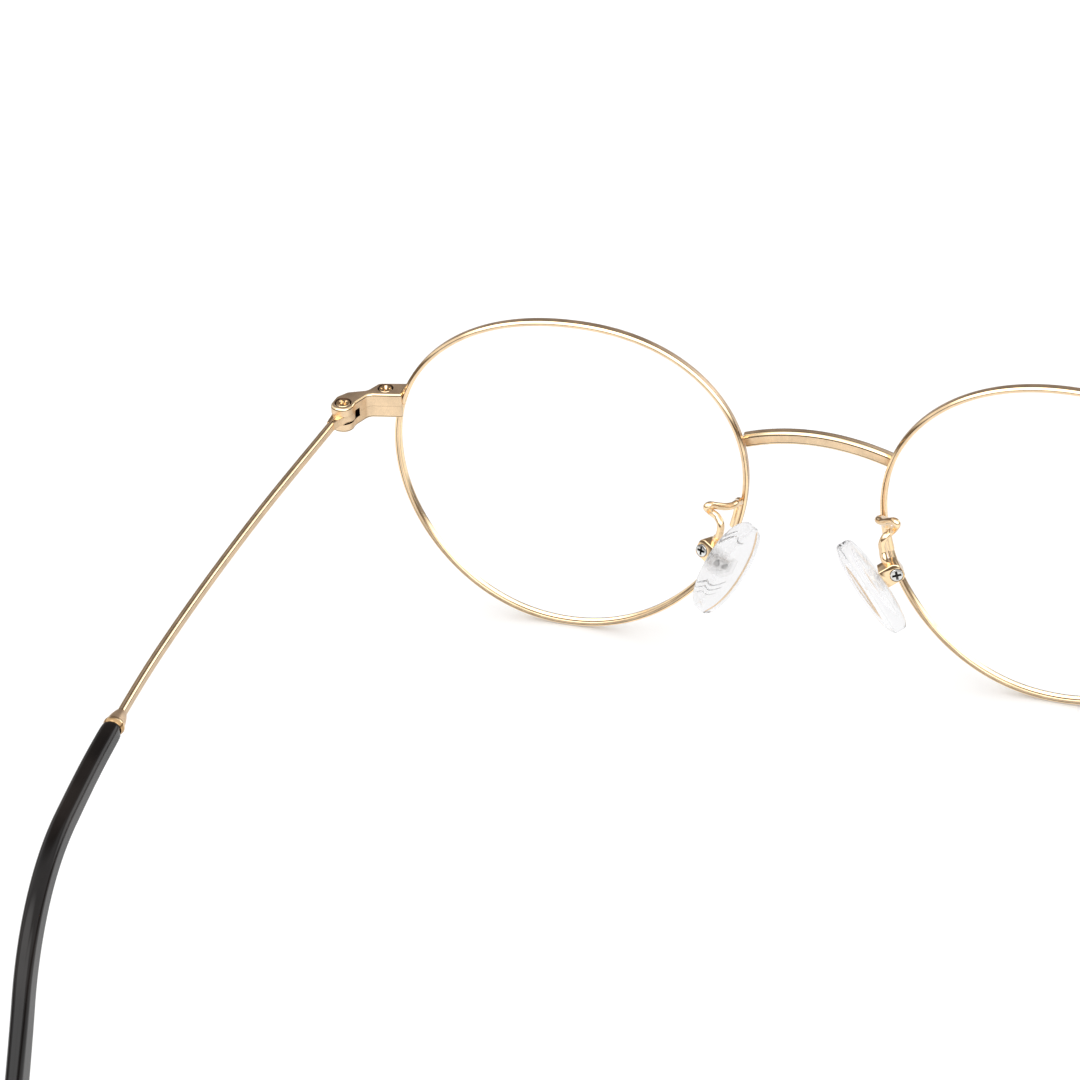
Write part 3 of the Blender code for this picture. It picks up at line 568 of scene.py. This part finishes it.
def bar_section(width, height, chamfer, line):
    """Points (across, up) round a bar with round chamfers, and each edge's finish. Strips of width
    line either side of each chamfer are painted dark reflection lines.
    """
    across, up = width / 2, height / 2
    near, far, sunk = chamfer * 0.22, chamfer * 0.62, 0.015
    quarter = [(across, up - chamfer - line), (across - sunk, up - chamfer),
               (across - near, up - far), (across - far, up - near),
               (across - chamfer, up - sunk), (across - chamfer - line, up)]
    kinds = [PAINTED_DARK, POLISH, POLISH, POLISH, PAINTED_DARK]
    sides = quarter + [(-x, y) for x, y in reversed(quarter)]
    sides += [(-x, -y) for x, y in quarter] + [(x, -y) for x, y in reversed(quarter)]
    return sides, (kinds + [TOP_SATIN] + kinds + [SATIN]) * 2


def make_bridge():
    """A curved bar that arches up and back between the rims."""
    end, rise, back = Vector((10.4, 0.62, 7.80)), 2.68, 1.10
    section, finishes = bar_section(width=1.45, height=1.92, chamfer=0.36, line=0.09)
    count = 96
    rings = []
    for i in range(count + 1):
        part = 2 * i / count - 1
        arch = 1 - part * part
        centre = Vector((part * end.x, end.y + back * arch, end.z + rise * arch))
        along = Vector((end.x, -2 * part * back, -2 * part * rise)).normalized()
        rear = Vector((0, 1, 0)) - along * along.y
        rear.normalize()
        up = along.cross(rear)
        rings.append([centre + rear * x + up * y for x, y in section])
    overlap, reach = 0.02, 5.0
    rims = [rim_body(RIM_OUTSIDE - overlap, reach, reach, place)
            for place in (LENS_TO_ROOT, FLIP @ LENS_TO_ROOT)]
    work = cut(skin(rings, by_edge(finishes)), rims)
    finished("bridge_bar", work, METALS, ROOT, "front", ["bridge"], METAL_SHARP)


# ---------------------------------------------------------------- closing blocks

# Corners of the end piece from above: (outwards, backwards, rounding)
BLOCK_OUTLINE = ((56.55, 0.68, 0.0), (60.45, 1.66, 0.8), (61.4, 3.75, 1.3), (63.8, 4.85, 1.1),
                 (64.85, 6.3, 1.0), (65.05, 9.4, 1.45), (61.95, 9.4, 1.4), (61.9, 7.2, 2.5),
                 (60.9, 4.78, 1.2), (56.55, 3.83, 0.0))
# (distance from an end, inset) down the polished edge at the top and at the bottom
BLOCK_EDGE = ((0.0, 0.26), (0.01, 0.22), (0.07, 0.12), (0.14, 0.05), (0.22, 0.01), (0.31, 0.0))
SLOT_RADIUS = 2.2
SLOT_HALF_HEIGHT = 0.635
SEAM_HALF_GAP = 0.012
# Name, place, radius of the head and of its sink, and turn of the cross
BLOCK_SCREWS = (("closing_screw", CLOSING_SCREW, 0.92, 0.98, 0.25),
                ("hinge_screw", HINGE, 0.99, 1.05, 1.0))


def block_waste(half):
    """What lies on the other side of the seam from one half of the end piece."""
    if half == "upper":
        return block((0, -50, HINGE.z - 9), (99, 50, HINGE.z + SEAM_HALF_GAP))
    return block((0, -50, HINGE.z - SEAM_HALF_GAP), (99, 50, HINGE.z + 9))


def make_blocks():
    """The end pieces: two halves with a slot for the hinge tongue, screw bores and sunk heads."""
    outline = rounded(BLOCK_OUTLINE, 12)
    edge = [POLISH, POLISH, POLISH, POLISH]
    # The rows either side of the satin side are painted dark reflection lines
    kinds = edge + [PAINTED_DARK, SATIN, PAINTED_DARK] + edge + [TOP_SATIN]
    low, high = HINGE.z - BLOCK_HALF_HEIGHT, HINGE.z + BLOCK_HALF_HEIGHT
    # The walls of the slot, bores and sinks are painted shade
    dark = METALS.index(PAINTED_DARK)
    for half in ("upper", "lower"):
        work = prism(outline, low, high, BLOCK_EDGE, lambda i, row: METALS.index(kinds[row]))
        slot = rod(SLOT_RADIUS, HINGE.z + SLOT_HALF_HEIGHT, HINGE.z - SLOT_HALF_HEIGHT, 64)
        slot = moved(slot, Matrix.Translation((HINGE.x, HINGE.y, 0)))
        knives = [block_waste(half), with_finish(slot, dark),
                  rim_body(RIM_OUTSIDE - 0.01, RIM_HALF_DEPTH, 4.0, LENS_TO_ROOT)]
        bore = 0.66 if half == "upper" else 0.61
        for _, place, _, sunk, _ in BLOCK_SCREWS:
            spot = Matrix.Translation((place[0], place[1], 0))
            knives.append(with_finish(moved(rod(bore, high + 9, low - 9), spot), dark))
            if half == "upper":
                mouth = sunk + 0.11
                sink = lathe([(0, high + 1), (mouth, high + 1), (mouth, high),
                              (sunk + 0.02, high - 0.09), (sunk, high - 0.12),
                              (sunk, high - 0.42), (0, high - 0.42)], 64)
                knives.append(with_finish(moved(sink, spot), dark))
        pair("end_block_" + half, cut(work, knives), METALS, ROOT, "front",
             ["closing_block_" + half + "_{}"], METAL_SHARP)


def screw_head(radius, length):
    """A cheese-head screw with a rounded rim and a cross recess, its top at the origin."""
    shank, arm, reach, deep = radius * 0.6, radius * 0.15, radius * 0.72, 0.30
    work = lathe([(0, 0), (radius - 0.16, 0), (radius - 0.07, -0.02), (radius - 0.02, -0.07),
                  (radius, -0.14), (radius, -0.36), (shank, -0.37), (shank, -length),
                  (0, -length)], 48)
    corners = ((-reach, -arm), (reach, -arm), (reach, arm), (-reach, arm))
    # (lengthways, crossways, height) of the recess: narrow at the bottom, flared above the head
    levels = ((0.35, 0.5, -deep), (1.0, 1.25, 0.0), (1.3, 1.8, deep))
    knives = []
    for turn in (0.0, math.radians(90)):
        arms = skin([[Vector((x * f, y * g, z)) for x, y in corners] for f, g, z in levels])
        knives.append(with_finish(moved(arms, Matrix.Rotation(turn, 4, "Z")), 1))
    dimple = lathe([(0, 0.2), (radius * 0.42, 0.2), (radius * 0.30, 0.0), (radius * 0.12, -0.26),
                    (0, -0.28)], 24)
    return cut(work, knives + [with_finish(dimple, 1)])


def make_block_screws():
    """The gold screws of the end pieces, a hair below their tops."""
    top, length = HINGE.z + BLOCK_HALF_HEIGHT - 0.04, 3.4
    for name, place, head, _, turn in BLOCK_SCREWS:
        work = moved(screw_head(head, length), Matrix.Rotation(turn, 4, "Z"))
        spot = ROOT @ Matrix.Translation((place[0], place[1], top))
        pair(name + "_fine", work, [BRIGHT, BRIGHT], spot, "front", [name + "_{}"])


# ---------------------------------------------------------------- temples

def spaced(start, end, count):
    """Even steps from start to end, both among them."""
    return [start + (end - start) * i / count for i in range(count + 1)]


def wire_section():
    """Points (outwards, up) round the wire, its upper inner edge the widest, and finishes. Thin
    strips either side of that widest chamfer are painted dark reflection lines.
    """
    across, up, wide, small = 0.43, 0.64, 0.23, 0.14
    points = [(-across, up - wide - 0.13), (-across + 0.01, up - wide),
              (-across + wide * 0.42, up - wide * 0.42), (-across + wide, up - 0.01),
              (-across + wide + 0.06, up), (across - 0.30, up), (across - 0.09, up - 0.09),
              (across, up - 0.30), (across, small - up), (across - 0.03, 0.03 - up),
              (across - small, -up), (small - across, -up), (0.03 - across, 0.03 - up),
              (-across, small - up)]
    finishes = [PAINTED_DARK, POLISH, POLISH, PAINTED_DARK, TOP_SATIN, POLISH, POLISH, SATIN, POLISH, POLISH,
                SATIN, POLISH, POLISH, SATIN]
    return points, finishes


def make_wires():
    """The chamfered wires of the temples, from the hinge tongue to the ferrule."""
    section, finishes = wire_section()
    rings = []
    for distance in spaced(WIRE_START, FERRULE_START - 0.04, 120):
        side, up = temple_axes(distance)
        centre = temple_centre(distance)
        rings.append([centre + side * x + up * y for x, y in section])
    wire = skin(rings, by_edge(finishes))
    pair("temple_wire", wire, METALS, HINGE_FRAME, "temple_{}", ["temple_{}"], METAL_SHARP)


def make_tongues():
    """The flat hinge tongues: an eye round the screw with a neck that runs into the wire."""
    radius, bore, thick, raised = 1.56, 0.68, 0.575, 0.05
    arc = [math.radians(t) for t in spaced(40, -220, 40)]
    neck = ((-0.75, 1.55), (-0.45, 1.95), (-0.10, 2.55), (0.14, 3.4), (1.12, 3.4), (1.16, 2.5),
            (1.15, 1.6))
    outline = [Vector((radius * math.cos(a), radius * math.sin(a))) for a in arc]
    outline += [Vector(point) for point in neck]
    outline.reverse()
    side_row = 2
    tongue = prism(outline, -thick, thick + raised, ((0.0, 0.08), (0.03, 0.02), (0.08, 0.0)),
                   lambda i, row: 0 if row == side_row else 1)
    tongue = cut(tongue, [with_finish(rod(bore, 2, -2), 1)])
    pair("hinge_tongue", tongue, [SATIN, BRIGHT], HINGE_FRAME, "temple_{}")


# Below the lip the bands are painted shade: darker gold, then near-black on the end face against
# the tip
# (radius, height, finish of the band below) down the collar between wire and tip
FERRULE = ((0.0, 0.03, BRIGHT), (0.58, 0.03, BRIGHT), (0.66, 0.0, BRIGHT),
           (0.72, -0.10, TOP_SATIN), (0.82, -0.38, TOP_SATIN), (0.99, -0.95, TOP_SATIN),
           (1.13, -1.60, TOP_SATIN), (1.22, -2.12, BRIGHT), (1.24, -2.24, BRIGHT),
           (1.30, -2.34, BRIGHT), (1.325, -2.48, BRIGHT), (1.30, -2.62, PAINTED_SHADE_GOLD),
           (1.24, -2.84, PAINTED_SHADE_GOLD), (1.12, -3.06, PAINTED_DARK), (0.57, -3.06, PAINTED_DARK),
           (0.0, -3.06, PAINTED_DARK))
FERRULE_CONE = (-2.3, -0.1)


def make_ferrules():
    """The collars between wire and tip: a satin cone with six slight facets and a polished lip."""
    metals = [TOP_SATIN, BRIGHT, PAINTED_DARK, PAINTED_SHADE_GOLD]
    segments, facets, facet_depth, on_axis = 60, 6, 0.035, 0.0002
    rings = []
    for radius, height, _ in FERRULE:
        depth = facet_depth if FERRULE_CONE[0] < height < FERRULE_CONE[1] else 0.0
        ring = []
        for i in range(segments):
            angle = 2 * math.pi * i / segments
            reach = max(radius, on_axis) * (1 - depth * (0.5 - 0.5 * math.cos(facets * angle)))
            ring.append(Vector((reach * math.cos(angle), reach * math.sin(angle), height)))
        rings.append(ring)
    work = skin(rings, lambda i, row: metals.index(FERRULE[row][2]))
    start, end = temple_centre(FERRULE_START + 0.02), temple_centre(FERRULE_START + 3.2)
    turn = (start - end).to_track_quat("Z", "Y").to_matrix().to_4x4()
    place = HINGE_FRAME @ Matrix.Translation(start) @ turn
    pair("ferrule_cone", work, metals, place, "temple_{}", ["ferrule_{}"])


# (distance behind the hinge, width, height) along a tip
TIP_KNOTS = ((72.1, 1.95, 2.05), (72.22, 2.22, 2.32), (72.45, 2.36, 2.46), (73.0, 2.42, 2.54),
             (73.8, 2.45, 2.60), (82.0, 2.50, 2.70), (90.0, 2.50, 2.90), (97.0, 2.45, 3.20),
             (104.0, 2.40, 3.65), (111.0, 2.30, 4.20), (118.0, 2.20, 4.70), (126.0, 2.10, 5.10),
             (132.0, 2.05, 5.20), (135.5, 1.95, 4.90), (137.7, 1.75, 4.10), (138.8, 1.42, 3.10),
             (139.45, 1.05, 2.20), (139.8, 0.70, 1.40), (139.9, 0.30, 0.60))


def make_tips():
    """Glossy acetate tips, oval with a flat inner side."""
    stations = [knot[0] for knot in TIP_KNOTS[:4]] + spaced(73.3, 137.5, 110)
    stations += [knot[0] for knot in TIP_KNOTS[-5:]]
    widths = [(at, width) for at, width, height in TIP_KNOTS]
    heights = [(at, height) for at, width, height in TIP_KNOTS]
    count, power, flat = 56, 2 / 2.6, -0.455
    rings = []
    for distance in stations:
        width, height = smooth_through(widths, distance), smooth_through(heights, distance)
        side, up = temple_axes(distance)
        ring = []
        for i in range(count):
            angle = 2 * math.pi * (i + 0.5) / count
            x, y = math.cos(angle), math.sin(angle)
            across = math.copysign(abs(x) ** power, x) * width / 2
            high = math.copysign(abs(y) ** power, y) * height / 2
            across = max(across, flat * width)
            ring.append(temple_centre(distance) + side * across + up * high)
        rings.append(ring)
    pair("tip", skin(rings), [ACETATE], HINGE_FRAME, "temple_{}", ["temple_tip_{}"], 35)


# ---------------------------------------------------------------- nose pads

def tube(points, radius_at):
    """A round wire along points, in frames that don't twist, with a rounded start."""
    segments = 24
    rings = []
    side = (points[1] - points[0]).orthogonal().normalized()
    for index, here in enumerate(points):
        radius = radius_at(index)
        along = (points[min(index + 1, len(points) - 1)] - points[max(index - 1, 0)]).normalized()
        side = (side - along * side.dot(along)).normalized()
        other = along.cross(side)
        steps = [(-0.30, 0.55), (-0.20, 0.85), (0.0, 1.0)] if index == 0 else [(0.0, 1.0)]
        for away, scale in steps:
            rings.append([here + along * away * radius
                          + (side * math.cos(t) + other * math.sin(t)) * radius * scale
                          for t in [2 * math.pi * i / segments for i in range(segments)]])
    return skin(rings)


def make_arms():
    """The polished wires that carry the pad boxes, brazed behind the rims."""
    back, inwards, foot_angles = RIM_HALF_DEPTH + 0.49, 0.45, (190.3, 187.0, 184.0, 181.0)
    foot = [LENS_TO_ROOT @ lens_edge(math.radians(a), -inwards, back) for a in foot_angles]

    def radius_at(index):
        swell = math.exp(-((index - BRAZE_PLACE) / BRAZE_SPREAD) ** 2)
        return ARM_RADIUS * (1 + BRAZE_SWELL * swell)

    for side in PAD_POSES:
        ends = [pad_frame(side) @ Vector((0.0, up, ARM_ENTRY[side])) for up in (2.43, 1.58)]
        route = foot + [Vector(point) for point in ARM_ROUTES[side]] + ends
        place = ROOT if side == "left" else FLIP @ ROOT
        finished("arm_wire_" + side, tube(smooth_route(route, 9), radius_at), [BRIGHT], place,
                 "front", ["pad_arm_" + side], 60)


def to_pad_frame():
    """Turns a prism's x, y, z into the pad hinge's y, z, x."""
    return Matrix(((0, 0, 1, 0), (1, 0, 0, 0), (0, 1, 0, 0), (0, 0, 0, 1)))


def make_boxes():
    """Polished boxes with a domed back, open to the pad and below, and their screws."""
    above, below, deep_out, deep_in, half = 1.60, 1.05, 0.95, 1.85, BOX_HALF_WIDTH
    outline = rounded([(above, -deep_out, 0.9), (above, deep_in, 0.15), (-below, deep_in, 0.15),
                       (-below, -deep_out, 0.7)], 8)
    steps = ((0.0, 0.12), (0.03, 0.05), (0.06, 0.02), (0.12, 0.0))
    across = Matrix.Rotation(math.radians(-90.0), 4, "Y")
    proud, cross_turn, sink_radius, sink_depth = 0.12, 0.35, 0.95, 0.35
    spot = (Matrix.Translation((-half - proud, 0, 0)) @ across
            @ Matrix.Rotation(cross_turn, 4, "Z"))
    for side in PAD_POSES:
        work = moved(prism(outline, -half, half, steps), to_pad_frame())
        opening = block((-0.65, -5, -0.70), (0.65, above - 0.55, 5))
        shank = moved(rod(PAD_SCREW_SHANK, 5, -5), across)
        sink = moved(rod(sink_radius, 5, half - sink_depth, 48), across)
        work = cut(work, [with_finish(knife, 1) for knife in (opening, shank, sink)])
        finished("box_" + side, work, [BRIGHT, POLISH], place_for(side), "front",
                 ["pad_box_" + side])
        finished("box_screw_" + side, moved(screw_head(0.86, 2.3), spot), [STEEL, RECESS],
                 place_for(side), "front", ["pad_screw_" + side])


def pad_ring(part, height):
    """A ring of the pad's outline at a fraction of its width, in the pad's own frame."""
    segments, waist = 72, 0.05
    ring = []
    for i in range(segments):
        angle = 2 * math.pi * i / segments
        x, y = [math.copysign(abs(t) ** PAD_SQUARENESS, t)
                for t in (math.cos(angle), math.sin(angle))]
        reach = PAD_LENGTH / 2 * (PAD_UPPER_PART if y > 0 else 1.0)
        ring.append(Vector((x * (1.0 + waist * y * part) * part * PAD_WIDTH / 2, y * part * reach,
                            height)))
    return ring


def pad_body():
    """The silicone: a soft-edged cushion with three moulded grooves in its back at each end."""
    half, bands = PAD_THICKNESS / 2, 40
    rings = []
    for i in range(1, bands):
        angle = math.pi * (i / bands - 0.5)
        level = math.copysign(abs(math.sin(angle)) ** PAD_PROFILE_POWER, math.sin(angle))
        rings.append(pad_ring(math.cos(angle), level * half))
    sides = ((RIB_RADIUS, RIB_TURNS), (RIB_RADIUS + RIB_WIDTH, RIB_TURNS[::-1]))
    knives = []
    for end in (1, -1):
        for count, up in enumerate(RIB_PLACES):
            shorter = 1 - RIB_SHORTENING * count
            groove = [(radius * math.sin(turn * shorter),
                       end * (up - RIB_RADIUS + radius * math.cos(turn * shorter)))
                      for radius, turns in sides for turn in turns]
            rib = skin([[Vector((x, y, z)) for x, y in groove]
                        for z in (-half - 1, -half + RIB_DEPTH)])
            # The groove walls take the grey finish: painted shade in the grooves
            knives.append(with_finish(rib, 1))
    return moved(cut(skin(rings), knives), Matrix.Translation((0, 0, PAD_PIVOT_BEHIND)))


def make_pads():
    """Clear silicone pads, each with a toothed plug inside and a boss that stands in the box."""
    back = PAD_PIVOT_BEHIND - PAD_THICKNESS / 2
    edge, tooth, wide, base = 1.12, 0.16, 0.62, back + 0.3
    boss_outline = rounded([(wide, -wide, 0.6), (wide, base, 0.0), (-wide, base, 0.0),
                            (-wide, -wide, 0.6)], 8)
    for side in PAD_POSES:
        place, body = place_for(side), "nose_pad_" + side
        pad = finished("pad_" + side, pad_body(), [SILICONE, RIB_PAINTED_SHADE], place, body,
                       ["nose_pad_" + side], 50)
        teeth = [block((x, -9, back - 1), (x + tooth, 9, back + 0.75))
                 for x in (-0.84, -0.42, 0.28, 0.70)]
        plug = cut(block((-edge, -edge, back + 0.1), (edge, edge, back + 1.37)), teeth)
        hole = moved(rod(PAD_SCREW_SHANK, 5, -5), Matrix.Rotation(math.radians(90), 4, "X"))
        boss = prism(boss_outline, -0.57, 0.57, ((0.0, 0.04), (0.04, 0.0)))
        boss = moved(cut(boss, [hole]), to_pad_frame())
        finished("insert_plug_" + side, plug, [INSERT], place, body)
        finished("insert_boss_" + side, boss, [BOSS], place, body, ["pad_insert_" + side])


# ---------------------------------------------------------------- stage, light and camera

def make_stage():
    """A plain pale floor, which the metal doesn't mirror."""
    work = bmesh.new()
    bmesh.ops.create_circle(work, cap_ends=True, segments=96, radius=2.5)
    mesh = bpy.data.meshes.new("floor")
    work.to_mesh(mesh)
    work.free()
    floor = linked("floor", mesh)
    finish, nodes, shader = new_material("white_floor")
    shade = nodes.mix(nodes.noise(8.0), (0.93, 0.93, 0.93, 1.0), (0.95, 0.95, 0.95, 1.0))
    nodes.fill(shader, {"Base Color": shade, "Roughness": 0.9})
    mesh.materials.append(finish)
    floor.visible_glossy = False


# Directions of the studio's dark flags and softboxes: (x, y, z, edge, core), where edge and core
# are the cosines from the axis at which each one starts and is full
FLAG_LEFT = (0.26, -0.78, 0.56, 0.72, 0.93)
FLAG_RIGHT = (-0.47, -0.78, 0.40, 0.93, 0.985)
SOFTBOXES_ABOVE = ((0.26, 0.56, 0.78, 0.80, 0.93), (-0.57, 0.60, 0.55, 0.80, 0.93))
SOFTBOX_LOW = (-0.57, -0.78, 0.22, 0.95, 0.985)
# Brightness of what the metal mirrors, and of the plain room for everything else
FLOOR_LEVEL, FLOOR_REAR_RISE, CEILING_LEVEL, FILL_LEVEL = 0.66, 0.37, 0.80, 0.22
SOFTBOX_LEVEL, LOW_SOFTBOX_LEVEL, SECOND_FLAG_WEIGHT = 2.0, 1.6, 0.6
ROOM_LEVEL = 1.20


def make_world():
    """Plain white for the room. Polished metal mirrors softboxes, dark flags and a dim horizon."""
    world = bpy.data.worlds.new("studio")
    bpy.context.scene.world = world
    world.use_nodes = True
    tree = world.node_tree
    nodes = Nodes(tree)
    direction = nodes.add("ShaderNodeTexCoord").outputs["Generated"]

    def lobe(x, y, z, edge, core):
        facing = nodes.add("ShaderNodeVectorMath",
                           {0: direction, 1: Vector((x, y, z)).normalized()},
                           operation="DOT_PRODUCT").outputs["Value"]
        return nodes.ramp(facing, edge, core)

    def without(part, weight=1.0):
        return nodes.math("SUBTRACT", 1.0, nodes.product(part, weight))

    split = nodes.add("ShaderNodeSeparateXYZ", {0: direction})
    rearwards = nodes.ramp(split.outputs["Y"], -0.3, 0.2)
    low = nodes.product(nodes.ramp(split.outputs["Z"], -0.10, -0.28),
                        nodes.math("ADD", FLOOR_LEVEL, nodes.product(rearwards, FLOOR_REAR_RISE)))
    high = nodes.product(nodes.ramp(split.outputs["Z"], 0.06, 0.22), CEILING_LEVEL)
    flags = nodes.product(without(lobe(*FLAG_LEFT)),
                          without(lobe(*FLAG_RIGHT), SECOND_FLAG_WEIGHT))
    room = nodes.product(nodes.math("MAXIMUM", low, high), flags)
    above = nodes.math("MAXIMUM", *[lobe(*softbox) for softbox in SOFTBOXES_ABOVE])
    level = nodes.math("ADD", room, FILL_LEVEL)
    level = nodes.math("ADD", level, nodes.product(above, SOFTBOX_LEVEL))
    level = nodes.math("ADD", level, nodes.product(lobe(*SOFTBOX_LOW), LOW_SOFTBOX_LEVEL))
    tint = nodes.mix(nodes.ramp(level, 0.0, 0.6), (0.85, 0.66, 0.52, 1.0), (1.0, 1.0, 1.0, 1.0))
    mirrored = nodes.add("ShaderNodeBackground", {"Color": tint, "Strength": level})
    plain = nodes.fill(tree.nodes["Background"], {"Color": (1.0, 1.0, 1.0, 1.0),
                                                  "Strength": ROOM_LEVEL})
    path = nodes.add("ShaderNodeLightPath")
    outside = nodes.math("LESS_THAN", path.outputs["Transmission Depth"], 0.5)
    ray = nodes.product(path.outputs["Is Glossy Ray"], outside)
    mixed = nodes.add("ShaderNodeMixShader",
                      {0: ray, 1: plain.outputs[0], 2: mirrored.outputs[0]})
    tree.links.new(mixed.outputs[0], tree.nodes["World Output"].inputs["Surface"])


def make_camera():
    """The camera stands behind and above the wearer's right, looking at the left half.

    Its place is in millimetres from the middle of the bridge.
    """
    camera = linked("camera", bpy.data.cameras.new("camera"))
    place = ORIGIN + Vector((-77.794, 352.66, 240.387)) * MM
    right = Vector((-0.95477, -0.29607, -0.02747))
    up = Vector((0.14554, -0.54589, 0.82512))
    turn = Matrix((right, up, right.cross(up))).transposed().to_4x4()
    camera.matrix_world = Matrix.Translation(place) @ turn
    camera.data.sensor_width = 36.0
    camera.data.lens = 109.009
    camera.data.clip_start = 0.01
    bpy.context.scene.camera = camera
    bpy.context.scene.view_settings.view_transform = "Standard"


make_rims()
make_lenses()
make_bridge()
make_blocks()
make_block_screws()
make_wires()
make_tongues()
make_ferrules()
make_tips()
make_arms()
make_boxes()
make_pads()
make_stage()
make_world()
make_camera()

bpy.context.view_layer.update()
